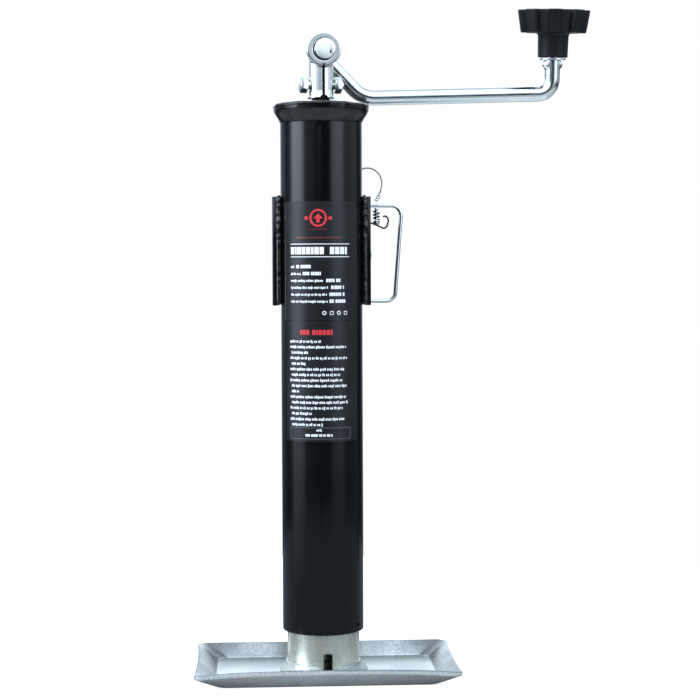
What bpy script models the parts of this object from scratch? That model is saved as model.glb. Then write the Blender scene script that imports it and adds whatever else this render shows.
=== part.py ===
"""Trailer tongue jack: a tubular swivel-mount jack with a folding crank handle.

Metres, +Z up. The origin is at the centre of the foot's underside, on the screw's axis.
The crank arm points to +X and the trailer-side pipe to +Y. Rest pose: fully retracted.
"""
import bpy
import bmesh
from math import cos, pi, radians, sin, tan
from mathutils import Matrix, Vector

MM = 0.001
GAP = 0.3 * MM                  # clearance between touching pieces

# --- tubes and foot ---
TUBE_R = 28.575 * MM            # 2.25 in outer tube
TUBE_BORE = 25.7 * MM
TUBE_BOTTOM = 32.3 * MM
TUBE_STEPS = 48
FLARE_START = 388.5 * MM
RIM_TOP = 401.5 * MM
RIM_R = 33.3 * MM
LEG_R = 25.4 * MM               # 2 in drop tube
LEG_BORE = 22.4 * MM
LEG_TOP = 362.0 * MM
SHEET = 3.0 * MM                # foot plate thickness
FOOT_SHIFT = 1.6 * MM           # the plate is welded on a little off the tube's axis
FOOT_FLAT = (77.5 * MM, 41.0 * MM)
FOOT_RIM = (90.6 * MM, 48.6 * MM)   # half the rim, at the middle of each side
FOOT_HEIGHT = 12.8 * MM
FOOT_DRAWN = (1.8 * MM, 7.0 * MM, 1.3 * MM)     # how far the rim's ends are drawn out in x and y, and down
NOTCH = (6.5 * MM, 16.0 * MM)   # drain notch width and height
NOTCH_TURN = 5.0

# --- screw, nut and thrust bearing ---
SCREW_R = 7.94 * MM             # 5/8 in screw, 8 threads per inch
SCREW_BOTTOM = 62.0 * MM
SCREW_END_R = 6.0 * MM          # reduced top end, inside the crank socket
SCREW_TOP = 425.0 * MM
SHOULDER_R = 12.5 * MM
SHOULDER = (368.0 * MM, 373.6 * MM)
NUT_BOTTOM = 340.0 * MM
RACE_R = 16.0 * MM
BALL_R = 2.4 * MM
BALL_RING_R = 12.4 * MM
BALLS = 8

# --- saddle bracket, sleeve, trailer pipe and lock pin ---
BRACKET_Z = (261.0 * MM, 337.0 * MM)
BRACKET_HALF = 34.4 * MM
BRACKET_WALL = 4.9 * MM
WEB_BACK = 34.4 * MM
FLANGE_FRONT = -4.6 * MM
MOUNT_Z = 297.4 * MM
SLEEVE_R = 27.0 * MM
SLEEVE_BORE = 23.5 * MM
SLEEVE_END = 80.0 * MM
PIPE_R = 23.15 * MM
PIPE_BORE = 19.2 * MM
PIPE_Y = (38.0 * MM, 96.0 * MM)
PIPE_HOLES = 4
PIN_R = 5.0 * MM
PIN_X = (23.65 * MM, 38.2 * MM)
PIN_Y = 50.0 * MM
WIRE_R = 1.4 * MM
WIRE_EYE_X = 35.8 * MM

# --- crank ---
CRANK_TURN = 4.0                # degrees about +Z, from the +X axis
EYE_U = 1.2 * MM
EYE_Z = 438.6 * MM
EYE_R = 11.9 * MM
EYE_BORE = 7.7 * MM
EYE_V = (-10.0 * MM, 5.0 * MM)
SOCKET_R = 8.7 * MM
SOCKET_BOTTOM = 404.9 * MM
SLIT = 1.8 * MM
SLIT_TURN = 7.0                 # degrees the slit and the bolt are turned in the crank
BOLT_Z = 414.6 * MM
BOLT_R = 3.0 * MM
HEX_FLATS = 10.0 * MM

# --- handle and knob ---
ROD_R = 5.6 * MM
ROD_PLANE = 17.5 * MM           # the arm's plane, behind the screw's axis
ARM_LENGTH = 168.9 * MM
ARM_Z0 = 406.6 * MM
ARM_RISE = 0.0305
SLANT = 45.5                    # degrees
HEEL_R = 10.5 * MM              # bend between the arm and the spindle
SPINDLE_LEAN = (5.5, 0.4)       # degrees about X and Y that the spindle is off plumb
KNOB_Z = (437.3 * MM, 454.7 * MM, 470.8 * MM)   # along the spindle, above the ground
KNOB_R = 26.1 * MM
KNOB_LOBES = 8
KNOB_PHASE = -10.9               # degrees from the arm to the nearest lobe
KNOB_BORE = 5.7 * MM

COLOURS = {
    "black_paint": ((0.012, 0.013, 0.016), 0.3, 0.0),
    "zinc": ((0.62, 0.66, 0.69), 0.28, 1.0),
    "satin_zinc": ((0.48, 0.51, 0.50), 0.42, 1.0),
    "black_plastic": ((0.02, 0.02, 0.022), 0.55, 0.0),
    "oiled_steel": ((0.20, 0.20, 0.21), 0.4, 1.0),
    "bronze": ((0.45, 0.31, 0.16), 0.4, 1.0),
    "label": ((0.03, 0.032, 0.036), 0.45, 0.0),
}


# ---------------------------------------------------------------- helpers

def material(name):
    found = bpy.data.materials.get(name)
    if found:
        return found
    colour, roughness, metallic = COLOURS[name]
    made = bpy.data.materials.new(name)
    made.use_nodes = True
    shader = made.node_tree.nodes["Principled BSDF"]
    shader.inputs["Base Color"].default_value = (*colour, 1.0)
    shader.inputs["Roughness"].default_value = roughness
    shader.inputs["Metallic"].default_value = metallic
    return made


def add_mesh(name, points, faces, finish, parent=None, smooth=True):
    mesh = bpy.data.meshes.new(name)
    mesh.from_pydata([tuple(p) for p in points], [], faces)
    work = bmesh.new()
    work.from_mesh(mesh)
    bmesh.ops.recalc_face_normals(work, faces=work.faces)
    work.to_mesh(mesh)
    work.free()
    if smooth:
        mesh.shade_smooth()
        mesh.set_sharp_from_angle(angle=radians(35))
    piece = bpy.data.objects.new(name, mesh)
    bpy.context.scene.collection.objects.link(piece)
    piece.parent = parent
    mesh.materials.append(material(finish))
    return piece


def turned(name, outline, finish, steps=48, parent=None, turn=None):
    """Turn an outline of (radius, height) points about Z; turn places the result."""
    solid = outline[0][0] == 0.0
    rings = outline[1:-1] if solid else outline
    points = []
    for radius, height in rings:
        for i in range(steps):
            angle = 2 * pi * i / steps
            points.append(Vector((radius * cos(angle), radius * sin(angle), height)))
    faces = []
    pairs = len(rings) - 1 if solid else len(rings)
    for j in range(pairs):
        k = (j + 1) % len(rings)
        for i in range(steps):
            n = (i + 1) % steps
            faces.append((j * steps + i, j * steps + n, k * steps + n, k * steps + i))
    if solid:
        faces.append(tuple(range(steps)))
        faces.append(tuple(range((len(rings) - 1) * steps, len(rings) * steps)))
    if turn:
        points = [turn @ p for p in points]
    return add_mesh(name, points, faces, finish, parent)


def prism(name, outline, low, high, finish, parent=None, turn=None, smooth=False):
    """Extrude a flat (x, y) outline from height low to high; turn places the result."""
    count = len(outline)
    points = [Vector((x, y, z)) for z in (low, high) for x, y in outline]
    faces = [tuple(range(count)), tuple(range(count, 2 * count))]
    faces += [(i, (i + 1) % count, (i + 1) % count + count, i + count) for i in range(count)]
    if turn:
        points = [turn @ p for p in points]
    return add_mesh(name, points, faces, finish, parent, smooth)


def box(name, low, high, finish, parent=None, turn=None):
    outline = [(low[0], low[1]), (high[0], low[1]), (high[0], high[1]), (low[0], high[1])]
    return prism(name, outline, low[2], high[2], finish, parent, turn)


def swept(name, path, radii, finish, sides=20, parent=None, closed=False):
    """A round bar along a path, with a radius for each point."""
    count = len(path)
    path = [Vector(p) for p in path]
    tangents = []
    for i in range(count):
        before = path[i - 1] if (closed or i) else path[0]
        after = path[(i + 1) % count] if (closed or i < count - 1) else path[-1]
        tangents.append((after - before).normalized())
    normal = tangents[0].orthogonal().normalized()
    points = []
    for i in range(count):
        normal = (normal - tangents[i] * normal.dot(tangents[i])).normalized()
        side = tangents[i].cross(normal)
        for k in range(sides):
            angle = 2 * pi * k / sides
            points.append(path[i] + (normal * cos(angle) + side * sin(angle)) * radii[i])
    faces = []
    for i in range(count if closed else count - 1):
        j = (i + 1) % count
        for k in range(sides):
            n = (k + 1) % sides
            faces.append((i * sides + k, i * sides + n, j * sides + n, j * sides + k))
    if not closed:
        faces.append(tuple(range(sides)))
        faces.append(tuple(range((count - 1) * sides, count * sides)))
    return add_mesh(name, points, faces, finish, parent)


def combine(target, other, operation):
    """Boolean one object with another, which is then only a guide."""
    modifier = target.modifiers.new(operation.lower(), "BOOLEAN")
    modifier.operation = operation
    modifier.object = other
    other.hide_render = True
    other.display_type = "WIRE"


def bend(corner, into, out, radius, steps):
    """Points of the arc that rounds a corner between two directions."""
    angle = into.angle(out)
    reach = radius * tan(angle / 2)
    start = corner - into * reach
    toward = (out - into).normalized()
    centre = start + (toward - into * toward.dot(into)).normalized() * radius
    arm = start - centre
    points = []
    for k in range(steps + 1):
        part = angle * k / steps
        points.append(centre + arm * cos(part) + into * radius * sin(part))
    return points


def smooth_route(points, per_span):
    """A Catmull-Rom curve through the points."""
    points = [Vector(p) for p in points]
    ends = [points[0] * 2 - points[1]] + points + [points[-1] * 2 - points[-2]]
    result = []
    for i in range(1, len(ends) - 2):
        a, b, c, d = ends[i - 1:i + 3]
        for k in range(per_span):
            t = k / per_span
            result.append(((b * 2) + (c - a) * t + (a * 2 - b * 5 + c * 4 - d) * t * t
                           + (b * 3 - a - c * 3 + d) * t ** 3) / 2)
    result.append(points[-1])
    return result


def cable(name, points, radius, finish, parent=None):
    curve = bpy.data.curves.new(name, "CURVE")
    curve.dimensions = "3D"
    curve.bevel_depth = radius
    curve.bevel_resolution = 2
    curve.use_fill_caps = True
    line = curve.splines.new("POLY")
    line.points.add(len(points) - 1)
    for target, point in zip(line.points, points):
        target.co = (*point, 1.0)
    curve.materials.append(material(finish))
    piece = bpy.data.objects.new(name, curve)
    bpy.context.scene.collection.objects.link(piece)
    piece.parent = parent
    return piece


def hexagon(flats):
    reach = flats / 2 / cos(pi / 6)
    return [(reach * cos(pi / 3 * i), reach * sin(pi / 3 * i)) for i in range(6)]


def empty(name, place, turn=0.0):
    holder = bpy.data.objects.new(name, None)
    holder.location = place
    holder.rotation_euler = (0.0, 0.0, turn)
    bpy.context.scene.collection.objects.link(holder)
    return holder


Y_AXIS = Matrix.Rotation(-pi / 2, 4, "X")       # local +Z to world +Y
X_AXIS = Matrix.Rotation(pi / 2, 4, "Y")        # local +Z to world +X


def along_y(x, z):
    return Matrix.Translation((x, 0.0, z)) @ Y_AXIS


# ---------------------------------------------------------------- housing

def outer_tube():
    outline = [
        (TUBE_BORE, TUBE_BOTTOM), (TUBE_R, TUBE_BOTTOM), (TUBE_R, FLARE_START), (30.2 * MM, 392.0 * MM),
        (32.6 * MM, 396.2 * MM), (RIM_R, 398.8 * MM), (32.6 * MM, 401.0 * MM), (31.6 * MM, RIM_TOP),
        (30.5 * MM, 400.3 * MM), (30.5 * MM, 398.0 * MM), (28.6 * MM, 394.2 * MM), (TUBE_BORE, 390.2 * MM),
    ]
    tube = turned("outer_tube", outline, "black_paint", TUBE_STEPS)
    for name, azimuth, height, radius in (("plug_hole", -7.0, 386.0 * MM, 1.3 * MM),
                                          ("drain_hole", 56.0, 37.8 * MM, 1.3 * MM)):
        place = Matrix.Rotation(radians(azimuth - 90), 4, "Z") @ X_AXIS
        outline = [(0.0, 24 * MM), (radius, 24 * MM), (radius, 30 * MM), (0.0, 30 * MM)]
        cutter = turned(name, outline, "black_paint", 8, None, Matrix.Translation((0, 0, height)) @ place)
        combine(tube, cutter, "DIFFERENCE")


def head_cap():
    outline = [
        (8.5 * MM, 386.0 * MM), (25.3 * MM, 386.0 * MM), (25.3 * MM, 390.0 * MM), (28.1 * MM, 394.3 * MM),
        (30.1 * MM, 398.4 * MM), (30.1 * MM, 399.7 * MM), (8.5 * MM, 399.7 * MM),
    ]
    turned("head_cap", outline, "black_paint", TUBE_STEPS)


def race(name, low, bore, parent=None):
    high = low + 3.0 * MM
    edge = 0.5 * MM
    outline = [(bore, low), (RACE_R, low), (RACE_R, high - edge), (RACE_R - edge, high), (bore, high)]
    turned(name, outline, "oiled_steel", 32, parent)


def bearing_cage(parent):
    middle = 379.8 * MM
    outline = [(9.2 * MM, middle - 0.8 * MM), (15.6 * MM, middle - 0.8 * MM),
               (15.6 * MM, middle + 0.8 * MM), (9.2 * MM, middle + 0.8 * MM)]
    cage = turned("bearing_cage", outline, "bronze", 32, parent)
    for i in range(BALLS):
        angle = 2 * pi * (i + 0.5) / BALLS
        mesh = bpy.data.meshes.new("ball")
        work = bmesh.new()
        bmesh.ops.create_icosphere(work, subdivisions=2, radius=BALL_R)
        work.to_mesh(mesh)
        work.free()
        ball = bpy.data.objects.new(f"ball_{i}", mesh)
        bpy.context.scene.collection.objects.link(ball)
        ball.parent = parent
        ball.location = (BALL_RING_R * cos(angle), BALL_RING_R * sin(angle), middle)
        combine(cage, ball, "UNION")


def saddle_bracket():
    """A channel behind the tube, with its corners chamfered towards the tube at top and bottom."""
    half, wall, round_r = BRACKET_HALF, BRACKET_WALL, 7.0 * MM
    inner_r = round_r - wall
    outline = [(-half, FLANGE_FRONT)]
    for cx, start in ((-half + round_r, 180), (half - round_r, 90)):
        for k in range(6):
            angle = radians(start - 18 * k)
            outline.append((cx + round_r * cos(angle), WEB_BACK - round_r + round_r * sin(angle)))
    outline += [(half, FLANGE_FRONT), (half - wall, FLANGE_FRONT)]
    for cx, start in ((half - round_r, 0), (-half + round_r, 90)):
        for k in range(6):
            angle = radians(start + 18 * k)
            outline.append((cx + inner_r * cos(angle), WEB_BACK - round_r + inner_r * sin(angle)))
    outline.append((-half + wall, FLANGE_FRONT))
    bracket = prism("saddle_bracket", outline, *BRACKET_Z, "black_paint", smooth=True)
    hole = turned("anchor_hole", [(0.0, 25 * MM), (0.9 * MM, 25 * MM), (0.9 * MM, 40 * MM), (0.0, 40 * MM)],
                  "black_paint", 12, None, along_y(LANYARD[0][0], LANYARD[0][2]))
    combine(bracket, hole, "DIFFERENCE")


def weld(name, side):
    """A lumpy bead between the tube and a front edge of the bracket."""
    low, high = BRACKET_Z[0] + 1 * MM, BRACKET_Z[1] - 1 * MM
    count = 18
    path, radii = [], []
    for i in range(count + 1):
        z = low + (high - low) * i / count
        path.append((side * 30.1 * MM, -7.0 * MM, z))
        ripple = 0.08 * sin(i * 2.1) + 0.05 * sin(i * 0.9 + side)
        radii.append((1.75 + ripple - (0.7 if i in (0, count) else 0.0)) * MM)
    swept(name, path, radii, "black_paint", 10)


def swivel_sleeve():
    outline = [
        (SLEEVE_BORE + 1.3 * MM, WEB_BACK + GAP), (SLEEVE_R, WEB_BACK + GAP), (SLEEVE_R, SLEEVE_END - 0.8 * MM),
        (SLEEVE_R - 0.8 * MM, SLEEVE_END), (SLEEVE_BORE, SLEEVE_END), (SLEEVE_BORE, 42.5 * MM),
        (SLEEVE_BORE + 1.3 * MM, 42.5 * MM),
    ]
    sleeve = turned("swivel_sleeve", outline, "black_paint", 40, None, along_y(0.0, MOUNT_Z))
    hole = turned("pin_hole", [(0.0, 15 * MM), (PIN_R + GAP, 15 * MM), (PIN_R + GAP, 32 * MM), (0.0, 32 * MM)],
                  "black_paint", 16, None, Matrix.Translation((0.0, PIN_Y, MOUNT_Z)) @ X_AXIS)
    combine(sleeve, hole, "DIFFERENCE")


def labels():
    """Two thin stickers wrapped round the front of the tube."""
    low_r, high_r = TUBE_R + GAP, TUBE_R + GAP + 0.25 * MM
    reach, middle, steps = 58.0, -90.0 - 3.2, 20
    for name, low, high in (("label_upper", 251.2 * MM, 333.0 * MM), ("label_lower", 167.5 * MM, 250.7 * MM)):
        angles = [radians(middle - reach + 2 * reach * i / steps) for i in range(steps + 1)]
        outline = [(low_r * cos(a), low_r * sin(a)) for a in angles]
        outline += [(high_r * cos(a), high_r * sin(a)) for a in reversed(angles)]
        prism(name, outline, low, high, "label", smooth=True)


# the cable's route, from its anchor in the web to its crimp by the ring
LANYARD = [
    (17.0 * MM, 37.6 * MM, 332.6 * MM), (17.4 * MM, 40.0 * MM, 336.5 * MM), (18.6 * MM, 39.6 * MM, 343.0 * MM),
    (21.6 * MM, 37.8 * MM, 350.0 * MM), (26.4 * MM, 36.0 * MM, 355.6 * MM), (32.0 * MM, 34.8 * MM, 358.3 * MM),
    (36.6 * MM, 34.2 * MM, 358.4 * MM), (40.1 * MM, 34.0 * MM, 357.0 * MM), (43.6 * MM, 33.8 * MM, 353.2 * MM),
    (45.0 * MM, 33.6 * MM, 347.9 * MM), (44.2 * MM, 33.6 * MM, 342.9 * MM), (42.9 * MM, 33.7 * MM, 339.4 * MM),
]
CABLE_R = 0.55 * MM
KEEPER = (41.0 * MM, 33.8 * MM, 317.8 * MM)     # the middle of the plunger's foot


def lanyard():
    route = smooth_route(LANYARD, 3)
    cable("lanyard", route, CABLE_R, "zinc")
    start = Vector(LANYARD[0])
    swept("lanyard_anchor", [start + Vector((0, y, -1.5 * MM)) for y in (-2.4 * MM, -0.7 * MM)],
          [1.9 * MM] * 2, "zinc", 12)
    end = Vector(LANYARD[-1])
    way = (Vector((40.4 * MM, 33.8 * MM, 334.6 * MM)) - end).normalized()
    path = [end + way * (GAP + step * 4.6 * MM) for step in (0.0, 0.15, 0.5, 0.85, 1.0)]
    swept("lanyard_ferrule", path, [r * MM for r in (1.1, 1.5, 1.3, 1.5, 1.1)], "zinc", 12)


def keeper():
    """The plunger with its coil spring by the cable's end, and the wire clip below it."""
    x, y, z = KEEPER
    outline = [(0.0, 0.0), (1.9, 0.0), (2.6, 2.9), (1.0, 2.9), (1.0, 11.0), (1.6, 11.4), (1.6, 12.2), (0.0, 12.2)]
    turned("keeper_pin", [(r * MM, h * MM) for r, h in outline], "zinc", 20, None, Matrix.Translation((x, y, z)))
    turns, steps, coil_r, wire = 2.75, 14, 2.2 * MM, 0.5 * MM
    path = []
    total = int(turns * steps)
    for i in range(total + 1):
        angle = 2 * pi * i / steps
        path.append((x + coil_r * cos(angle), y + coil_r * sin(angle), z + (3.8 + 6.3 * i / total) * MM))
    swept("keeper_spring", path, [wire] * len(path), "zinc", 6)
    hook = [(34.5, 320.0), (37.5, 318.9), (40.2, 317.9), (42.9, 316.6), (45.0, 315.6), (46.6, 315.4), (48.0, 316.5),
            (48.9, 318.6), (49.3, 321.0), (48.6, 323.0), (47.2, 324.0), (45.6, 323.6)]
    route = smooth_route([(x * MM, 30.0 * MM, z * MM) for x, z in hook], 2)
    swept("keeper_clip", route, [0.7 * MM] * len(route), "zinc", 6)


# ---------------------------------------------------------------- crank

def lead_screw(crank, bolt_frame):
    outline = [
        (0.0, SCREW_BOTTOM), (SCREW_R - 1.2 * MM, SCREW_BOTTOM), (SCREW_R - 1.2 * MM, SCREW_BOTTOM + 9.0 * MM),
        (SCREW_R, SCREW_BOTTOM + 10.0 * MM), (SCREW_R, SHOULDER[0]), (SHOULDER_R, SHOULDER[0]),
        (SHOULDER_R, SHOULDER[1]), (SCREW_R, SHOULDER[1]), (SCREW_R, 402.2 * MM), (SCREW_END_R, 403.2 * MM),
        (SCREW_END_R, SCREW_TOP - 1.0 * MM), (SCREW_END_R - 1.0 * MM, SCREW_TOP), (0.0, SCREW_TOP),
    ]
    screw = turned("lead_screw", outline, "oiled_steel", 28, crank)
    hole = turned("screw_cross_hole", [(0.0, -12 * MM), (3.4 * MM, -12 * MM), (3.4 * MM, 12 * MM), (0.0, 12 * MM)],
                  "oiled_steel", 12, bolt_frame, X_AXIS)
    combine(screw, hole, "DIFFERENCE")
    pin_hole = turned("stop_hole", [(0.0, -12 * MM), (1.9 * MM, -12 * MM), (1.9 * MM, 12 * MM), (0.0, 12 * MM)],
                      "oiled_steel", 10, crank, Matrix.Translation((0, 0, SCREW_BOTTOM + 3.2 * MM)) @ X_AXIS)
    combine(screw, pin_hole, "DIFFERENCE")


def screw_stop(crank):
    """A washer on the screw's lower end, kept on by a roll pin, so that the nut can't run off."""
    low = SCREW_BOTTOM + 5.5 * MM
    bore = SCREW_R - 1.2 * MM + GAP
    turned("stop_washer", [(bore, low), (15.0 * MM, low), (15.0 * MM, low + 2.6 * MM), (bore, low + 2.6 * MM)],
           "zinc", 32, crank)
    turned("stop_pin", [(0.0, -11 * MM), (1.3 * MM, -11 * MM), (1.6 * MM, -10.6 * MM), (1.6 * MM, 10.6 * MM),
                        (1.3 * MM, 11 * MM), (0.0, 11 * MM)],
           "oiled_steel", 14, crank, Matrix.Translation((0, 0, SCREW_BOTTOM + 3.2 * MM)) @ X_AXIS)


def crank_socket(crank, bolt_frame):
    """A strap bent into an eye, whose two half-round legs clamp the screw's end."""
    outline = [
        (SCREW_END_R + GAP, SOCKET_BOTTOM), (9.1 * MM, SOCKET_BOTTOM), (9.35 * MM, SOCKET_BOTTOM + 0.5 * MM),
        (8.95 * MM, SOCKET_BOTTOM + 2.4 * MM), (SOCKET_R, SOCKET_BOTTOM + 5.0 * MM), (SOCKET_R, 433.5 * MM),
        (SCREW_END_R + GAP, 433.5 * MM),
    ]
    socket = turned("crank_socket", outline, "zinc", 32, crank)
    slit = box("slit_cut", (-SLIT / 2, -15 * MM, -12 * MM), (SLIT / 2, 15 * MM, 13.5 * MM), "zinc", bolt_frame)
    combine(socket, slit, "DIFFERENCE")
    bolt_hole = turned("socket_cross_hole", [(0.0, -12 * MM), (3.4 * MM, -12 * MM), (3.4 * MM, 12 * MM),
                                             (0.0, 12 * MM)], "zinc", 12, bolt_frame, X_AXIS)
    combine(socket, bolt_hole, "DIFFERENCE")
    edge = 1.0 * MM
    low, high = EYE_V
    eye = turned("eye_body", [(0.0, low), (EYE_R - edge, low), (EYE_R, low + edge), (EYE_R, high), (0.0, high)],
                 "zinc", 36, crank, along_y(EYE_U, EYE_Z))
    combine(socket, eye, "UNION")
    bore = turned("eye_bore", [(0.0, -14 * MM), (EYE_BORE, -14 * MM), (EYE_BORE, 14 * MM), (0.0, 14 * MM)],
                  "zinc", 32, crank, along_y(EYE_U, EYE_Z))
    combine(socket, bore, "DIFFERENCE")


def eye_bush(crank):
    low, high = EYE_V[0] + 1.4 * MM, EYE_V[1] - 0.3 * MM
    outer = EYE_BORE - GAP
    turned("eye_bush", [(ROD_R + GAP, low), (outer, low), (outer, high), (ROD_R + GAP, high)],
           "oiled_steel", 32, crank, along_y(EYE_U, EYE_Z))


def socket_bolt(bolt_frame):
    head = prism("socket_bolt", hexagon(HEX_FLATS), -15.2 * MM, -9.9 * MM, "zinc", bolt_frame, X_AXIS)
    shank = turned("bolt_shank", [(0.0, -10.5 * MM), (BOLT_R, -10.5 * MM), (BOLT_R, 15.3 * MM),
                                  (BOLT_R - 0.8 * MM, 16.1 * MM), (0.0, 16.1 * MM)],
                   "zinc", 20, bolt_frame, X_AXIS)
    combine(head, shank, "UNION")
    nut = prism("socket_nut", hexagon(HEX_FLATS), 9.5 * MM, 14.4 * MM, "zinc", bolt_frame, X_AXIS)
    hole = turned("nut_bore", [(0.0, 8 * MM), (BOLT_R + GAP, 8 * MM), (BOLT_R + GAP, 17 * MM), (0.0, 17 * MM)],
                  "zinc", 20, bolt_frame, X_AXIS)
    combine(nut, hole, "DIFFERENCE")


# ---------------------------------------------------------------- handle and knob

HEEL = Vector((ARM_LENGTH, ROD_PLANE, ARM_Z0 + ARM_RISE * ARM_LENGTH))


def spindle_turn():
    lean_x, lean_y = SPINDLE_LEAN
    return Matrix.Rotation(radians(lean_x), 3, "X") @ Matrix.Rotation(radians(lean_y), 3, "Y")


def on_spindle(height):
    """A point on the leaning spindle, in the crank's frame."""
    return HEEL + spindle_turn() @ Vector((0.0, 0.0, height - HEEL.z))


def handle_path():
    """The rod's centre line in the crank's frame: through the eye, down a slant, out along the arm, up."""
    slant = Vector((cos(radians(SLANT)), 0.0, -sin(radians(SLANT))))
    back = Vector((0.0, 1.0, 0.0))
    out = Vector((1.0, 0.0, ARM_RISE)).normalized()
    up = spindle_turn() @ Vector((0.0, 0.0, 1.0))
    eye = Vector((EYE_U, 0.0, EYE_Z))
    rear = eye + back * ROD_PLANE
    fall = tan(radians(SLANT))
    elbow_x = (EYE_Z + EYE_U * fall - ARM_Z0) / (fall + ARM_RISE)
    elbow = Vector((elbow_x, ROD_PLANE, ARM_Z0 + ARM_RISE * elbow_x))
    path = bend(rear, back, slant, 10.0 * MM, 6)
    path += bend(elbow, slant, out, 20.0 * MM, 5)
    path += bend(HEEL, out, up, HEEL_R, 6)
    return eye, path


def handle_rod(fold):
    eye, path = handle_path()
    head = [eye + Vector((0, v * MM, 0)) for v in (-12.7, -12.5, -10.4, -10.2, -8.0)]
    head_radii = [6.6 * MM, 7.1 * MM, 7.1 * MM, ROD_R, ROD_R]
    tip = [on_spindle(z * MM) for z in (434.9, 435.3, 466.0, 468.2, 468.8)]
    tip_radii = [ROD_R, 5.0 * MM, 5.0 * MM, 5.0 * MM, 4.4 * MM]
    points = head + path + tip
    points = [p - eye for p in points]
    swept("handle_rod", points, head_radii + [ROD_R] * len(path) + tip_radii, "zinc", 16, fold)


def knob_washer(spindle):
    low = KNOB_Z[0] - 1.8 * MM
    high = low + 1.4 * MM
    turned("knob_washer", [(5.4 * MM, low), (9.6 * MM, low), (9.6 * MM, high), (5.4 * MM, high)], "zinc", 24, spindle)


def knob_retainer(spindle):
    low = 467.0 * MM
    turned("knob_retainer", [(5.3 * MM, low), (8.0 * MM, low), (8.0 * MM, low + 1.1 * MM), (5.3 * MM, low + 1.1 * MM)],
           "oiled_steel", 24, spindle)


def star(radius, depth, height, steps):
    """One ring of the knob's lobed outline."""
    ring = []
    for i in range(steps):
        angle = 2 * pi * i / steps + radians(KNOB_PHASE)
        wave = (1 - cos(KNOB_LOBES * 2 * pi * i / steps)) / 2
        reach = radius - depth * wave * wave * (3 - 2 * wave)
        ring.append(Vector((reach * cos(angle), reach * sin(angle), height)))
    return ring


def knob(spindle):
    base, under, top = KNOB_Z
    steps = 64
    layers = [
        (10.6 * MM, 0.0, base), (11.4 * MM, 0.0, under - 2.0 * MM), (KNOB_R - 3.4 * MM, 3.5 * MM, under),
        (KNOB_R - 2.4 * MM, 3.6 * MM, under + 1.4 * MM), (KNOB_R, 3.8 * MM, top - 2.0 * MM),
        (KNOB_R - 2.0 * MM, 3.5 * MM, top),
        (9.4 * MM, 0.0, top), (9.4 * MM, 0.0, 466.4 * MM), (KNOB_BORE, 0.0, 466.4 * MM), (KNOB_BORE, 0.0, base),
    ]
    points = [p for radius, depth, height in layers for p in star(radius, depth, height, steps)]
    faces = []
    for j in range(len(layers)):
        k = (j + 1) % len(layers)
        for i in range(steps):
            n = (i + 1) % steps
            faces.append((j * steps + i, j * steps + n, k * steps + n, k * steps + i))
    add_mesh("knob", points, faces, "black_plastic", spindle)
    turned("knob_cap", [(0.0, 469.2 * MM), (8.9 * MM, 469.2 * MM), (8.9 * MM, 470.6 * MM), (8.2 * MM, 471.1 * MM),
                        (0.0, 471.1 * MM)], "black_plastic", 24, spindle)


# ---------------------------------------------------------------- leg and foot

def inner_tube():
    outline = [(LEG_BORE, SHEET + GAP), (LEG_R, SHEET + GAP), (LEG_R, LEG_TOP - 0.6 * MM),
               (LEG_R - 0.6 * MM, LEG_TOP), (LEG_BORE, LEG_TOP)]
    tube = turned("inner_tube", outline, "satin_zinc", TUBE_STEPS)
    half, height = NOTCH[0] / 2, NOTCH[1]
    cut = box("notch_cut", (-half, -30 * MM, 0.0), (half, -15 * MM, SHEET + height), "satin_zinc", None,
              Matrix.Rotation(radians(NOTCH_TURN), 4, "Z"))
    combine(tube, cut, "DIFFERENCE")


def screw_nut():
    bore = SCREW_R + GAP
    outer = LEG_BORE - GAP
    outline = [(bore, NUT_BOTTOM), (outer - 1 * MM, NUT_BOTTOM), (outer, NUT_BOTTOM + 1 * MM),
               (outer, LEG_TOP - 0.5 * MM), (bore, LEG_TOP - 0.5 * MM)]
    turned("screw_nut", outline, "oiled_steel", 32)


def foot_ring(half_x, half_y, corner, height, drawn=0.0):
    """A rounded rectangle; drawn is how far its corners take the rim's pull, from 0 to 1."""
    arc, along = 5, (7, 3)
    outline = []
    for sx, sy, start, spots in ((1, 1, 0, along[0]), (-1, 1, 90, along[1]), (-1, -1, 180, along[0]),
                                 (1, -1, 270, along[1])):
        cx, cy = sx * (half_x - corner), sy * (half_y - corner)
        for k in range(arc + 1):
            angle = radians(start + 90 * k / arc)
            outline.append((cx + corner * cos(angle), cy + corner * sin(angle)))
        x, y = outline[-1]
        goal = (-x, y) if spots == along[0] else (x, -y)
        for k in range(1, spots + 1):
            share = k / (spots + 1)
            outline.append((x + (goal[0] - x) * share, y + (goal[1] - y) * share))
    ring = []
    for x, y in outline:
        across, deep = abs(x) / half_x, abs(y) / half_y
        out_x, out_y, down = (pull * drawn for pull in FOOT_DRAWN)
        ring.append(Vector((FOOT_SHIFT + x + out_x * deep ** 2 * (1 if x > 0 else -1),
                            y + out_y * across ** 3 * y / half_y, height - down * across ** 3)))
    return ring


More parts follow.
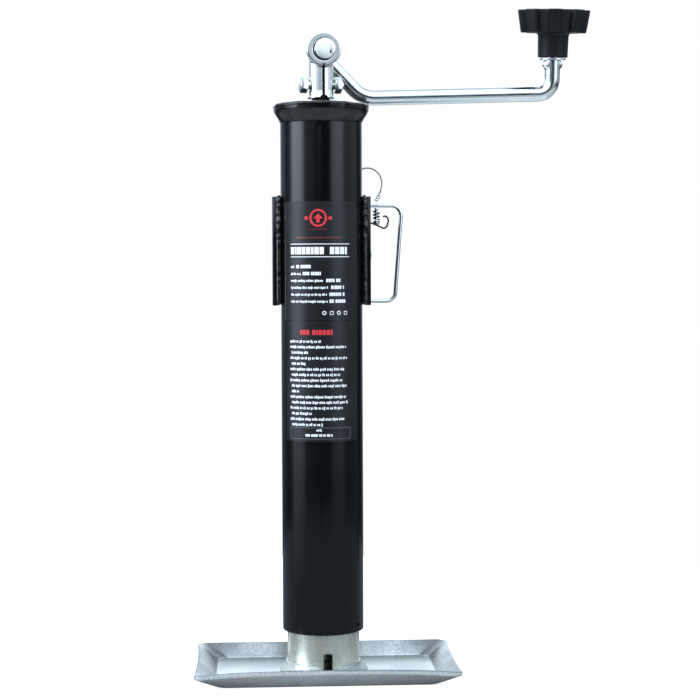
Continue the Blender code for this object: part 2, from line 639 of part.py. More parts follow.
def foot_plate():
    """A pressed tray: a flat bottom and flanges that slope up to a rim with drawn-out corners."""
    fx, fy = FOOT_FLAT
    rx, ry = FOOT_RIM
    t = SHEET
    rings = [
        foot_ring(fx, fy, 8 * MM, 0.0),
        foot_ring(rx, ry - 1.0 * MM, 6 * MM, FOOT_HEIGHT - t, 1.0),
        foot_ring(rx - 0.6 * MM, ry - 0.4 * MM, 6 * MM, FOOT_HEIGHT, 1.0),
        foot_ring(rx - 2.4 * MM, ry - 2.4 * MM, 5.5 * MM, FOOT_HEIGHT, 1.0),
        foot_ring(fx - 1.0 * MM, fy - 0.8 * MM, 7.4 * MM, t),
    ]
    count = len(rings[0])
    points = [p for ring in rings for p in ring]
    faces = [tuple(range(count)), tuple(range(4 * count, 5 * count))]
    for j in range(4):
        for i in range(count):
            n = (i + 1) % count
            faces.append((j * count + i, j * count + n, (j + 1) * count + n, (j + 1) * count + i))
    add_mesh("foot_plate", points, faces, "satin_zinc")


def foot_weld():
    """The fillet round the drop tube's foot, open at the drain notch."""
    low, high, inner = SHEET + GAP, SHEET + 7.0 * MM, LEG_R + GAP
    steps, opening = 36, 12.0
    outline = [(inner, low), (inner + 5.2 * MM, low), (inner + 4.2 * MM, low + 1.6 * MM),
               (inner + 1.3 * MM, high - 0.9 * MM), (inner, high)]
    points, faces = [], []
    for i in range(steps + 1):
        angle = radians(-90 + NOTCH_TURN + opening + (360 - 2 * opening) * i / steps)
        for radius, height in outline:
            points.append((radius * cos(angle), radius * sin(angle), height))
    count = len(outline)
    for i in range(steps):
        for k in range(count):
            n = (k + 1) % count
            faces.append((i * count + k, i * count + n, (i + 1) * count + n, (i + 1) * count + k))
    faces.append(tuple(range(count)))
    faces.append(tuple(range(steps * count, (steps + 1) * count)))
    add_mesh("foot_weld", points, faces, "satin_zinc")


# ---------------------------------------------------------------- trailer side

def mount_pipe(mount):
    """The weld-on pipe, with a hole every quarter turn for the lock pin and a groove for its ring."""
    low, high = PIPE_Y
    groove = (39.6 * MM, 41.4 * MM)
    groove_r = PIPE_R - 1.2 * MM
    outline = [
        (PIPE_BORE, low), (PIPE_R - 0.5 * MM, low), (PIPE_R, low + 0.5 * MM), (PIPE_R, groove[0]),
        (groove_r, groove[0]), (groove_r, groove[1]), (PIPE_R, groove[1]), (PIPE_R, high), (PIPE_BORE, high),
    ]
    pipe = turned("mount_pipe", outline, "oiled_steel", 40, mount, Y_AXIS)
    for i in range(PIPE_HOLES):
        place = Matrix.Rotation(2 * pi * i / PIPE_HOLES, 4, "Y") @ Matrix.Translation((0, PIN_Y, 0)) @ X_AXIS
        hole = turned(f"pipe_hole_{i}", [(0.0, 15 * MM), (PIN_R + 0.6 * MM, 15 * MM), (PIN_R + 0.6 * MM, 26 * MM),
                                         (0.0, 26 * MM)], "oiled_steel", 12, mount, place)
        combine(pipe, hole, "DIFFERENCE")
    ring_low, ring_high = groove[0] + GAP, groove[1] - GAP
    inner, outer = groove_r + GAP, SLEEVE_BORE + 0.9 * MM
    steps, opening = 30, 9.0
    points, faces = [], []
    for i in range(steps + 1):
        angle = radians(-90 + opening + (360 - 2 * opening) * i / steps)
        for radius, y in ((inner, ring_low), (outer, ring_low), (outer, ring_high), (inner, ring_high)):
            points.append((radius * cos(angle), y, radius * sin(angle)))
    for i in range(steps):
        for k in range(4):
            n = (k + 1) % 4
            faces.append((i * 4 + k, i * 4 + n, i * 4 + 4 + n, i * 4 + 4 + k))
    faces += [(0, 1, 2, 3), tuple(steps * 4 + k for k in range(4))]
    add_mesh("mount_ring", points, faces, "oiled_steel", mount)


def lock_pin(holder):
    low, high = PIN_X
    outline = [(0.0, low), (PIN_R - 1.0 * MM, low), (PIN_R, low + 1.0 * MM), (PIN_R, high - 0.8 * MM),
               (PIN_R - 0.8 * MM, high), (0.0, high)]
    pin = turned("lock_pin", outline, "zinc", 20, holder, X_AXIS)
    eye = turned("wire_eye", [(0.0, -8 * MM), (WIRE_R + GAP, -8 * MM), (WIRE_R + GAP, 8 * MM), (0.0, 8 * MM)],
                 "zinc", 12, holder, Matrix.Translation((WIRE_EYE_X, 0, 0)))
    combine(pin, eye, "DIFFERENCE")


def pull_wire(holder):
    """A rectangular wire ring through the lock pin's eye; its outer side leans a little."""
    corners = [(0.0, 0.0, -34.8 * MM), (19.6 * MM, 0.0, -34.9 * MM), (24.9 * MM, 0.0, 34.5 * MM), (0.0, 0.0, 34.8 * MM)]
    path = []
    count = len(corners)
    for i, radius in enumerate((3.0 * MM, 6.5 * MM, 7.0 * MM, 3.0 * MM)):
        corner = Vector(corners[i])
        into = (corner - Vector(corners[i - 1])).normalized()
        out = (Vector(corners[(i + 1) % count]) - corner).normalized()
        path += bend(corner, into, out, radius, 5)
    swept("pull_wire", path, [WIRE_R] * len(path), "zinc", 8, holder, closed=True)


# ---------------------------------------------------------------- assembly

def main():
    for item in list(bpy.data.objects):
        bpy.data.objects.remove(item)
    outer_tube()
    head_cap()
    race("bearing_upper_race", 382.7 * MM, 8.8 * MM)
    saddle_bracket()
    weld("weld_left", -1)
    weld("weld_right", 1)
    swivel_sleeve()
    labels()
    lanyard()
    keeper()

    crank = empty("crank_axis", (0.0, 0.0, 0.0), radians(CRANK_TURN))
    bolt_frame = empty("bolt_axis", (0.0, 0.0, BOLT_Z), radians(SLIT_TURN))
    bolt_frame.parent = crank
    lead_screw(crank, bolt_frame)
    screw_stop(crank)
    race("bearing_lower_race", 373.9 * MM, 8.3 * MM, crank)
    crank_socket(crank, bolt_frame)
    eye_bush(crank)
    socket_bolt(bolt_frame)
    bearing_cage(empty("cage_axis", (0.0, 0.0, 0.0)))

    fold = empty("fold_axis", (EYE_U, 0.0, EYE_Z))
    fold.parent = crank
    handle_rod(fold)
    spindle = empty("knob_axis", on_spindle(0.0))
    spindle.rotation_euler = spindle_turn().to_euler()
    spindle.parent = crank
    knob_washer(spindle)
    knob_retainer(spindle)
    knob(spindle)

    inner_tube()
    screw_nut()
    foot_plate()
    foot_weld()

    mount_pipe(empty("swivel_axis", (0.0, 0.0, MOUNT_Z)))
    pin_axis = empty("pin_axis", (0.0, PIN_Y, MOUNT_Z))
    lock_pin(pin_axis)
    pull_wire(empty("wire_axis", (WIRE_EYE_X, PIN_Y, MOUNT_Z)))


main()
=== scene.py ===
"""Looks for the trailer tongue jack: fine meshes, materials, soft studio light and the camera.

Shapes are built in millimetres in the CAD frame and turned into metres when a piece is made.
"""
from math import cos, degrees, pi, radians, sin, sqrt, tan

import bmesh
import bpy
from mathutils import Matrix, Vector, noise

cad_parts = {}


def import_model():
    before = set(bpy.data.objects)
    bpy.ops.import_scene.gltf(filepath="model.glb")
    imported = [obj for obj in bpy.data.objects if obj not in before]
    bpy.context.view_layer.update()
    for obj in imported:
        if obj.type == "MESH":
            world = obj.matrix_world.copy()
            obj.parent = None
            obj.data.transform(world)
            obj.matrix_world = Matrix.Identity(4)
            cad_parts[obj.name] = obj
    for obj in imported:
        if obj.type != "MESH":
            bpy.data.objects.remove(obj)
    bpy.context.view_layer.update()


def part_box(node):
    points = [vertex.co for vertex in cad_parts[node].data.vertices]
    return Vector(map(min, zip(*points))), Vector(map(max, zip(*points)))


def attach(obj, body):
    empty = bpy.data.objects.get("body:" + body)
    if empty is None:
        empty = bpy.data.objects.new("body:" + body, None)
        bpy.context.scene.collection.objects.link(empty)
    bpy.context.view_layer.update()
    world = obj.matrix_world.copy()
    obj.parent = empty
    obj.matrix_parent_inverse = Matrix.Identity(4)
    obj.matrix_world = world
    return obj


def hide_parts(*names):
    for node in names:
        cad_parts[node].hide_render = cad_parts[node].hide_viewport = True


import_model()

MM = 0.001
FINE = 144                      # steps round a large tube
Z_UP = Vector((0.0, 0.0, 1.0))


def cad(node):
    """A CAD node's box in millimetres."""
    low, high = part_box(node)
    return low / MM, high / MM


# ---------------------------------------------------------------- sizes, mostly read from the frame

tube_low, tube_high = cad("outer_tube")
TUBE_R = 28.575
TUBE_BORE = 25.7
TUBE_BOTTOM, RIM_TOP = tube_low.z, tube_high.z
leg_low, leg_high = cad("inner_tube")
LEG_R, LEG_BORE = leg_high.x, leg_high.x - 3.0
SHEET = leg_low.z - 0.3         # foot plate thickness
bracket_low, bracket_high = cad("saddle_bracket")
sleeve_low, sleeve_high = cad("swivel_sleeve")
MOUNT_Z = (sleeve_low.z + sleeve_high.z) / 2
pipe_low, pipe_high = cad("mount_pipe")
screw_low, screw_high = cad("lead_screw")
socket_low = cad("crank_socket")[0]
screw_nut_low, screw_nut_high = cad("screw_nut")
CRANK = Matrix.Rotation(radians(4.0), 4, "Z")
SLIT_TURN = radians(7.0)        # the slit and the bolt, in the crank's frame
EYE = Vector((1.2, 0.0, 438.6))     # the middle of the socket's eye
EYE_R, EYE_BORE = 12.1, 7.7
BOLT_Z = 414.6
ROD_R, ROD_PLANE = 5.6, 17.5
ARM_LENGTH, ARM_Z0, ARM_RISE, SLANT = 168.9, 406.6, 0.0305, radians(45.5)
HEEL = Vector((ARM_LENGTH, ROD_PLANE, ARM_Z0 + ARM_RISE * ARM_LENGTH))     # where the arm meets the riser
LEAN = Matrix.Rotation(radians(5.5), 4, "X") @ Matrix.Rotation(radians(0.4), 4, "Y")
SPINDLE = Matrix.Translation(HEEL) @ LEAN @ Matrix.Translation((0.0, 0.0, -HEEL.z))
KNOB_Z = (437.3, 454.7, 470.8)  # the hub's foot, the lobes' underside and their top
KNOB_LOBES, KNOB_PHASE = 8, radians(-10.9)
PIN_Y, WIRE_EYE_X, WIRE_R = 50.0, 35.8, 1.4
FOOT_FLAT, FOOT_RIM, FOOT_HEIGHT, FOOT_SHIFT = (77.5, 41.0), (90.5, 48.5), 12.8, 1.6
FOOT_DRAWN = (1.8, 7.0, 1.3)    # how far the rim's ends are drawn out in x and y, and down


# ---------------------------------------------------------------- camera, light and floor

def camera():
    """Nearly level, from a little left of the jack's front."""
    lens = bpy.data.cameras.new("camera")
    lens.lens, lens.sensor_width = 92.3, 36.0
    lens.clip_start, lens.clip_end = 0.05, 20.0
    eye = bpy.data.objects.new("camera", lens)
    eye.rotation_mode = "QUATERNION"
    turn = (Matrix.Rotation(CAMERA_TURN, 4, "Z") @ Matrix.Rotation(pi / 2 - 0.0511, 4, "X")
            @ Matrix.Rotation(-0.0038, 4, "Z"))
    eye.matrix_world = Matrix.Translation((-0.0513, -1.2598, 0.2939)) @ turn
    bpy.context.scene.collection.objects.link(eye)
    bpy.context.scene.camera = eye
    bpy.context.scene.view_settings.view_transform = "Standard"


class Graph:
    """A small helper for node trees: node() makes one and fills its sockets."""

    def __init__(self, tree):
        self.tree = tree
        tree.nodes.clear()

    def node(self, kind, settings=None, **sockets):
        made = self.tree.nodes.new(kind)
        for key, value in (settings or {}).items():
            setattr(made, key, value)
        for key, value in sockets.items():
            self.fill(made, key.replace("_", " "), value)
        return made

    def fill(self, made, key, value):
        socket = made.inputs[int(key[1:])] if key[0] == "#" else made.inputs[key]
        if isinstance(value, bpy.types.NodeSocket):
            self.tree.links.new(value, socket)
        else:
            socket.default_value = value

    def math(self, operation, a, b=0.0, clamp=False):
        made = self.node("ShaderNodeMath", {"operation": operation, "use_clamp": clamp})
        self.fill(made, "#0", a)
        self.fill(made, "#1", b)
        return made.outputs[0]

    def ramp(self, value, low, high, to_low=0.0, to_high=1.0, smooth=True):
        made = self.node("ShaderNodeMapRange", {"interpolation_type": "SMOOTHSTEP" if smooth else "LINEAR"})
        keys = ("Value", "From Min", "From Max", "To Min", "To Max")
        for key, item in zip(keys, (value, low, high, to_low, to_high)):
            self.fill(made, key, item)
        return made.outputs[0]

    def mix(self, share, a, b):
        made = self.node("ShaderNodeMix", {"data_type": "RGBA"})
        self.fill(made, "#0", share)
        self.fill(made, "#6", a if isinstance(a, bpy.types.NodeSocket) else (*a, 1.0))
        self.fill(made, "#7", b if isinstance(b, bpy.types.NodeSocket) else (*b, 1.0))
        return made.outputs[2]


LIGHT_TINT = (0.87, 1.0, 1.17)  # cool daylight
CAMERA_TURN = -0.0563           # the camera's turn about Z
LIGHT_TURN = CAMERA_TURN + radians(0.9)


def heading(azimuth, elevation=0.0):
    """A direction; azimuth 0 looks from the jack to the camera and grows to the camera's right."""
    a, e = radians(azimuth) + LIGHT_TURN, radians(elevation)
    return (sin(a) * cos(e), -cos(a) * cos(e), sin(e))


def world():
    """A pale studio: white behind, tall soft strips at both sides, a broad soft light above the camera."""
    sky = bpy.data.worlds.new("studio")
    bpy.context.scene.world = sky
    sky.use_nodes = True
    g = Graph(sky.node_tree)
    place = g.node("ShaderNodeTexCoord").outputs["Generated"]
    parts = g.node("ShaderNodeSeparateXYZ", Vector=place)
    up = parts.outputs["Z"]
    level = g.node("ShaderNodeCombineXYZ", X=parts.outputs["X"], Y=parts.outputs["Y"], Z=0.0)
    flat = g.node("ShaderNodeVectorMath", {"operation": "NORMALIZE"}).outputs[0]
    g.tree.links.new(level.outputs[0], flat.node.inputs[0])

    def toward(vector, direction, inner, outer):
        dot = g.node("ShaderNodeVectorMath", {"operation": "DOT_PRODUCT"})
        g.tree.links.new(vector, dot.inputs[0])
        dot.inputs[1].default_value = direction
        return g.ramp(dot.outputs["Value"], cos(radians(outer)), cos(radians(inner)))

    low_fade = g.ramp(up, sin(radians(-13)), sin(radians(2)), 0.10, 1.0)
    high_fade = g.ramp(up, sin(radians(38)), sin(radians(60)), 1.0, 0.0)
    fade = g.math("MULTIPLY", low_fade, high_fade)
    total = g.ramp(up, sin(radians(-24)), sin(radians(-15)), 0.5, 0.03)
    total = g.math("ADD", total, g.ramp(up, sin(radians(4.3)), sin(radians(6.8)), 0.0, 0.70))
    # each strip: azimuth, full and faded half-widths in degrees, strength
    strips = ((-72, 6, 27, 4.4), (-62, 20, 58, 0.42), (46, 3, 25, 2.1), (88, 10, 40, 0.45), (-140, 6, 26, 0.3),
              (165, 6, 30, 0.3))
    for azimuth, inner, outer, strength in strips:
        glow = g.math("MULTIPLY", toward(flat, heading(azimuth), inner, outer), fade)
        total = g.math("ADD", total, g.math("MULTIPLY", glow, strength))
    for azimuth, elevation, inner, outer, strength in ((0, 47, 22, 43, 1.25), (180, 22, 12, 38, 0.8)):
        glow = toward(place, heading(azimuth, elevation), inner, outer)
        total = g.math("ADD", total, g.math("MULTIPLY", glow, strength))
    seen = g.node("ShaderNodeLightPath").outputs["Is Camera Ray"]
    room = g.node("ShaderNodeBackground", Color=(*LIGHT_TINT, 1.0), Strength=total)
    white = g.node("ShaderNodeBackground", Color=(1.0, 1.0, 1.0, 1.0), Strength=1.0)
    both = g.node("ShaderNodeMixShader")
    for key, item in (("#0", seen), ("#1", room.outputs[0]), ("#2", white.outputs[0])):
        g.fill(both, key, item)
    out = g.node("ShaderNodeOutputWorld")
    g.tree.links.new(both.outputs[0], out.inputs["Surface"])


def top_light():
    """A large soft panel overhead that lights surfaces without showing in gloss."""
    panel = bpy.data.lights.new("top_light", "AREA")
    panel.shape, panel.size, panel.energy = "DISK", 1.6, 26.0
    panel.color = LIGHT_TINT[:2] + (1.0,)
    lamp = bpy.data.objects.new("top_light", panel)
    lamp.location = (-0.1, -0.3, 1.7)
    lamp.rotation_euler = (radians(-10), 0.0, 0.0)
    lamp.visible_glossy = False
    bpy.context.scene.collection.objects.link(lamp)


def floor():
    """A round pale table top that meets the white behind it.

    The foot stands on it, so it goes down with the leg.
    """
    mesh = bpy.data.meshes.new("floor")
    work = bmesh.new()
    bmesh.ops.create_circle(work, cap_ends=True, segments=96, radius=0.5)
    work.to_mesh(mesh)
    work.free()
    table = bpy.data.objects.new("floor", mesh)
    table.location = (0.0, 0.0, -0.0002)
    bpy.context.scene.collection.objects.link(table)
    finish = bpy.data.materials.new("pale_floor")
    finish.use_nodes = True
    g = Graph(finish.node_tree)
    # Rays other than the camera's see a darker floor that also glows, painted light from below.
    matte = g.node("ShaderNodeBsdfDiffuse", Color=(0.12, 0.12, 0.12, 1.0))
    facing = g.node("ShaderNodeLayerWeight", Blend=0.5).outputs["Facing"]
    place = g.node("ShaderNodeTexCoord").outputs["Object"]
    reach = g.node("ShaderNodeVectorMath", {"operation": "LENGTH"})
    g.tree.links.new(place, reach.inputs[0])
    # The glow fades out near the foot as a painted contact shadow and dims where the floor is seen at a grazing
    # angle.
    contact_shadow_fade = g.ramp(reach.outputs["Value"], 0.10, 0.26)
    strength = g.math("MULTIPLY", contact_shadow_fade, g.ramp(facing, 0.25, 0.70, 0.62, 0.0))
    upward = g.node("ShaderNodeEmission", Color=(*LIGHT_TINT, 1.0), Strength=strength)
    unseen = g.node("ShaderNodeAddShader")
    g.fill(unseen, "#0", matte.outputs[0])
    g.fill(unseen, "#1", upward.outputs[0])
    pale = g.node("ShaderNodeBsdfDiffuse", Color=(0.42, 0.42, 0.42, 1.0))
    glow = g.node("ShaderNodeEmission", Color=(1.0, 1.0, 1.0, 1.0), Strength=0.82)
    lifted = g.node("ShaderNodeAddShader")
    g.fill(lifted, "#0", pale.outputs[0])
    g.fill(lifted, "#1", glow.outputs[0])
    both = g.node("ShaderNodeMixShader")
    g.fill(both, "#0", g.node("ShaderNodeLightPath").outputs["Is Camera Ray"])
    g.fill(both, "#1", unseen.outputs[0])
    g.fill(both, "#2", lifted.outputs[0])
    out = g.node("ShaderNodeOutputMaterial")
    g.tree.links.new(both.outputs[0], out.inputs["Surface"])
    mesh.materials.append(finish)
    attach(table, "leg")


# ---------------------------------------------------------------- materials

def surface(name, metallic=0.0, specular=0.5, coat=0.0, coat_roughness=0.1):
    """A new material: its graph, its shader and the object coordinates in metres."""
    made = bpy.data.materials.new(name)
    made.use_nodes = True
    g = Graph(made.node_tree)
    shader = g.node("ShaderNodeBsdfPrincipled")
    shader.inputs["Metallic"].default_value = metallic
    shader.inputs["Specular IOR Level"].default_value = specular
    shader.inputs["Coat Weight"].default_value = coat
    shader.inputs["Coat Roughness"].default_value = coat_roughness
    out = g.node("ShaderNodeOutputMaterial")
    g.tree.links.new(shader.outputs[0], out.inputs["Surface"])
    place = g.node("ShaderNodeTexCoord").outputs["Object"]
    return made, g, shader, place


def clouds(g, place, scale, detail=3.0, stretch=None):
    """Noise from 0 to 1; stretch squeezes it along the axes."""
    if stretch:
        moved = g.node("ShaderNodeMapping", Vector=place, Scale=stretch)
        place = moved.outputs[0]
    return g.node("ShaderNodeTexNoise", Vector=place, Scale=scale, Detail=detail).outputs["Fac"]


def bump(g, shader, height, distance, strength=1.0, before=None):
    made = g.node("ShaderNodeBump", Height=height, Distance=distance, Strength=strength)
    if before:
        g.tree.links.new(before, made.inputs["Normal"])
    g.tree.links.new(made.outputs[0], shader.inputs["Normal"])
    return made.outputs[0]


def black_paint(name="gloss_black_powder_coat", lumps=0.0):
    """Gloss powder coat: a faint orange peel, small nibs, and a thinner, duller film in places."""
    made, g, shader, place = surface(name)
    haze = clouds(g, place, 22.0)
    nibs = g.ramp(clouds(g, place, 900.0, 2.0), 0.70, 0.80)
    tone = g.mix(g.ramp(haze, 0.35, 0.7), (0.0016, 0.0019, 0.0023), (0.0025, 0.0029, 0.0034))
    g.fill(shader, "Base Color", g.mix(nibs, tone, (0.008, 0.009, 0.011)))
    g.fill(shader, "Roughness", g.ramp(haze, 0.3, 0.75, 0.13, 0.19))
    first = bump(g, shader, clouds(g, place, 260.0, 2.0), 0.00012, 0.10 + lumps)
    bump(g, shader, nibs, 0.00003, 0.3, first)
    return made


def label_vinyl():
    """Printed vinyl: charcoal with a soft sheen, slightly creased."""
    made, g, shader, place = surface("label_vinyl", specular=0.33)
    fade = clouds(g, place, 30.0)
    grain = clouds(g, place, 2600.0, 2.0)
    g.fill(shader, "Base Color", g.mix(fade, (0.0040, 0.0050, 0.0060), (0.0066, 0.0078, 0.0090)))
    g.fill(shader, "Roughness", g.ramp(fade, 0.3, 0.7, 0.30, 0.38))
    bump(g, shader, grain, 0.00002, 0.25)
    return made


def ink(name, colour, worn):
    """Screen-printed ink, thin in small spots."""
    made, g, shader, place = surface(name)
    spots = g.ramp(clouds(g, place, 1500.0, 3.0), 0.60, 0.74, 0.0, 0.65)
    g.fill(shader, "Base Color", g.mix(spots, colour, worn))
    g.fill(shader, "Roughness", g.ramp(clouds(g, place, 60.0), 0.3, 0.7, 0.40, 0.52))
    return made


def bright_zinc(name="bright_zinc_plate", rough=(0.10, 0.20), shade=1.0, pits=0.12):
    """Blue-white zinc plate: clear with faint clouds, fine draw lines and tiny pits."""
    made, g, shader, place = surface(name, metallic=1.0)
    haze = clouds(g, place, 70.0, 4.0)
    fine = clouds(g, place, 1800.0, 2.0)
    clear, cloudy = [tuple(c * shade for c in tone) for tone in ((0.84, 0.87, 0.82), (0.74, 0.79, 0.77))]
    g.fill(shader, "Base Color", g.mix(g.ramp(haze, 0.35, 0.7), clear, cloudy))
    g.fill(shader, "Roughness", g.ramp(haze, 0.3, 0.72, *rough))
    first = bump(g, shader, clouds(g, place, 240.0, 2.0), 0.0001, pits)
    bump(g, shader, fine, 0.00002, 0.2, first)
    return made


def satin_zinc(name, light, dark, scale, speckle, rough, fleck, metallic=1.0, stretch=None):
    """Dull plated steel: fine bright and dark grains over soft stains."""
    made, g, shader, place = surface(name, metallic=metallic)
    stain = clouds(g, place, 26.0, 4.0, stretch)
    grain = g.ramp(clouds(g, place, scale, 3.0), 0.34, 0.68)
    flecks = g.ramp(clouds(g, place, scale * 2.1, 2.0), 0.58, 0.72)
    tone = g.mix(g.ramp(stain, 0.34, 0.66), light, dark)
    deep = tuple(c * 0.55 for c in dark)
    tone = g.mix(g.math("MULTIPLY", grain, speckle), tone, deep)
    clean = tuple(min(1.0, c * 1.35) for c in light)
    g.fill(shader, "Base Color", g.mix(g.math("MULTIPLY", flecks, fleck), tone, clean))
    g.fill(shader, "Roughness", g.ramp(stain, 0.3, 0.7, *rough))
    bump(g, shader, grain, 0.00006, 0.30)
    return made


def black_plastic():
    """Moulded plastic with a fine spark-eroded grain."""
    made, g, shader, place = surface("moulded_black_plastic", specular=0.27)
    haze = clouds(g, place, 45.0)
    grain = clouds(g, place, 1500.0, 2.0)
    g.fill(shader, "Base Color", g.mix(haze, (0.0028, 0.0034, 0.0044), (0.0050, 0.0058, 0.0070)))
    g.fill(shader, "Roughness", g.ramp(haze, 0.3, 0.7, 0.36, 0.46))
    bump(g, shader, grain, 0.00004, 0.35)
    return made


def slit_shade_black():
    """Painted shade for inside the socket's slit: black and dull steel, in patches of slightly different tone
    and roughness.
    """
    made, g, shader, place = surface("slit_shade_black", specular=0.15)
    patch = clouds(g, place, 300.0, 3.0)
    g.fill(shader, "Base Color", g.mix(patch, (0.006, 0.006, 0.007), (0.014, 0.013, 0.013)))
    g.fill(shader, "Roughness", g.ramp(patch, 0.3, 0.7, 0.50, 0.70))
    bump(g, shader, patch, 0.00005, 0.3)
    return made


def plain_metal(name, light, dark, rough, stretch=None):
    """Machined or oiled steel and bronze: turning marks and stains."""
    made, g, shader, place = surface(name, metallic=1.0)
    marks = clouds(g, place, 160.0, 3.0, stretch or (1.0, 1.0, 6.0))
    g.fill(shader, "Base Color", g.mix(g.ramp(marks, 0.35, 0.65), light, dark))
    g.fill(shader, "Roughness", g.ramp(marks, 0.3, 0.7, rough - 0.06, rough + 0.06))
    bump(g, shader, marks, 0.00004, 0.2)
    return made


# ---------------------------------------------------------------- mesh helpers

def piece(name, points, faces, finish, body, replaced=(), turn=None, sharp=34.0, merge=0.004):
    """A mesh from points in millimetres; it rides on a body and stands for the CAD nodes named."""
    mesh = bpy.data.meshes.new(name)
    mesh.from_pydata([tuple((turn @ Vector(p) if turn else Vector(p)) * MM) for p in points], [], faces)
    work = bmesh.new()
    work.from_mesh(mesh)
    bmesh.ops.remove_doubles(work, verts=work.verts, dist=merge * MM)
    bmesh.ops.dissolve_degenerate(work, edges=work.edges, dist=merge * MM / 4)
    bmesh.ops.recalc_face_normals(work, faces=work.faces)
    work.to_mesh(mesh)
    work.free()
    made = bpy.data.objects.new(name, mesh)
    bpy.context.scene.collection.objects.link(made)
    dress(made, finish, sharp)
    if body:
        settle(made, body, replaced)
    return made


def dress(made, finish, sharp=34.0):
    finishes = finish if isinstance(finish, (list, tuple)) else [finish]
    made.data.materials.clear()
    for item in finishes:
        made.data.materials.append(item)
    made.data.shade_smooth()
    made.data.set_sharp_from_angle(angle=radians(sharp))


def settle(made, body, replaced=()):
    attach(made, body)
    names = [replaced] if isinstance(replaced, str) else replaced
    if names:
        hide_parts(*names)


def fillet(outline, step=12.0):
    """Round each (x, y, radius) corner of a closed outline."""
    result = []
    for i, (x, y, radius) in enumerate(outline):
        corner = Vector((x, y, 0.0))
        if radius <= 0.0:
            result.append((x, y))
            continue
        a = Vector((*outline[i - 1][:2], 0.0)) - corner
        b = Vector((*outline[(i + 1) % len(outline)][:2], 0.0)) - corner
        half = a.angle(b) / 2
        reach = min(radius / tan(half), a.length * 0.49, b.length * 0.49)
        radius = reach * tan(half)
        centre = corner + (a.normalized() + b.normalized()).normalized() * (radius / sin(half))
        arm = corner + a.normalized() * reach - centre
        sweep = (pi - 2 * half) * (1 if arm.cross(corner + b.normalized() * reach - centre).z > 0 else -1)
        count = max(2, int(degrees(abs(sweep)) / step))
        for k in range(count + 1):
            spot = centre + Matrix.Rotation(sweep * k / count, 3, "Z") @ arm
            result.append((spot.x, spot.y))
    return result


def grid_faces(rows, columns, wrap_rows=True, wrap_columns=True):
    faces = []
    for j in range(rows if wrap_rows else rows - 1):
        k = (j + 1) % rows
        for i in range(columns if wrap_columns else columns - 1):
            n = (i + 1) % columns
            faces.append((j * columns + i, j * columns + n, k * columns + n, k * columns + i))
    return faces


def turned(name, outline, finish, body, replaced=(), steps=96, turn=None, wobble=None, sharp=34.0):
    """Turn a closed outline of (radius, height[, fillet]) about Z; wobble may shift each point."""
    outline = fillet([(p[0], p[1], p[2] if len(p) > 2 else 0.0) for p in outline])
    points = []
    for radius, height in outline:
        for i in range(steps):
            angle = 2 * pi * i / steps
            spot = Vector((radius * cos(angle), radius * sin(angle), height))
            points.append(wobble(spot, angle) if wobble else spot)
    return piece(name, points, grid_faces(len(outline), steps), finish, body, replaced, turn, sharp)


def prism(name, outline, low, high, finish, body=None, replaced=(), turn=None, bevel=0.0):
    """Extrude an (x, y) outline, then round its edges."""
    count = len(outline)
    points = [(x, y, z) for z in (low, high) for x, y in outline]
    faces = [tuple(range(count)), tuple(range(count, 2 * count))] + grid_faces(2, count, wrap_rows=False)
    made = piece(name, points, faces, finish, None, turn=turn)
    if bevel:
        rounding = made.modifiers.new("edges", "BEVEL")
        rounding.width, rounding.segments = bevel * MM, 3
        rounding.limit_method, rounding.angle_limit = "ANGLE", radians(30)
        rounding.harden_normals = True
        bake(made)
        dress(made, finish)
    if body:
        settle(made, body, replaced)
    return made


def bake(made):
    """Apply a piece's modifiers."""
    graph = bpy.context.evaluated_depsgraph_get()
    mesh = bpy.data.meshes.new_from_object(made.evaluated_get(graph))
    made.modifiers.clear()
    old, made.data = made.data, mesh
    mesh.name = made.name
    bpy.data.meshes.remove(old)


def combine(made, others, operation):
    """Boolean a piece with guides, which are then removed."""
    for other in others:
        modifier = made.modifiers.new("combine", "BOOLEAN")
        modifier.operation, modifier.object, modifier.solver = operation, other, "EXACT"
    bpy.context.view_layer.update()
    bake(made)
    for other in others:
        bpy.data.objects.remove(other)


def rod(radius, start, end, turn=None, steps=64):
    """A plain guide cylinder between two heights, for cutting and joining."""
    return turned("guide", [(0.0, start), (radius, start), (radius, end), (0.0, end)], None, None,
                  steps=steps, turn=turn)


def swept(name, path, radius, finish, body, replaced=(), sides=24, closed=False, turn=None, sharp=50.0,
          ends=0.0):
    """A round bar along a path. radius is a number, or a function of the step and the outward direction."""
    path = [Vector(p) for p in path]
    count = len(path)
    size = radius if callable(radius) else (lambda i, out: radius)
    tangents = []
    for i in range(count):
        before = path[i - 1] if (closed or i) else path[0]
        after = path[(i + 1) % count] if (closed or i < count - 1) else path[-1]
        tangents.append((after - before).normalized())
    normal = tangents[0].orthogonal().normalized()
    points = []
    for i in range(count):
        normal = (normal - tangents[i] * normal.dot(tangents[i])).normalized()
        side = tangents[i].cross(normal)
        for k in range(sides):
            out = normal * cos(2 * pi * k / sides) + side * sin(2 * pi * k / sides)
            points.append(path[i] + out * size(i, out))
    faces = grid_faces(count, sides, wrap_rows=closed)
    if not closed:
        for row, way in ((0, -1), (count - 1, 1)):
            ring = points[row * sides:(row + 1) * sides]
            inset = [path[row] + (p - path[row]) * 0.55 + tangents[row] * ends * way for p in ring]
            first = len(points)
            points += inset
            faces += [(row * sides + k, row * sides + (k + 1) % sides, first + (k + 1) % sides, first + k)
                      for k in range(sides)]
            faces.append(tuple(range(first, first + sides)))
    return piece(name, points, faces, finish, body, replaced, turn, sharp)


def bend(corner, into, out, radius, steps):
    """Points of the arc that rounds a corner between two directions."""
    angle = into.angle(out)
    start = corner - into * radius * tan(angle / 2)
    toward = (out - into).normalized()
    centre = start + (toward - into * toward.dot(into)).normalized() * radius
    arm = start - centre
    angles = [angle * k / steps for k in range(steps + 1)]
    return [centre + arm * cos(a) + into * radius * sin(a) for a in angles]


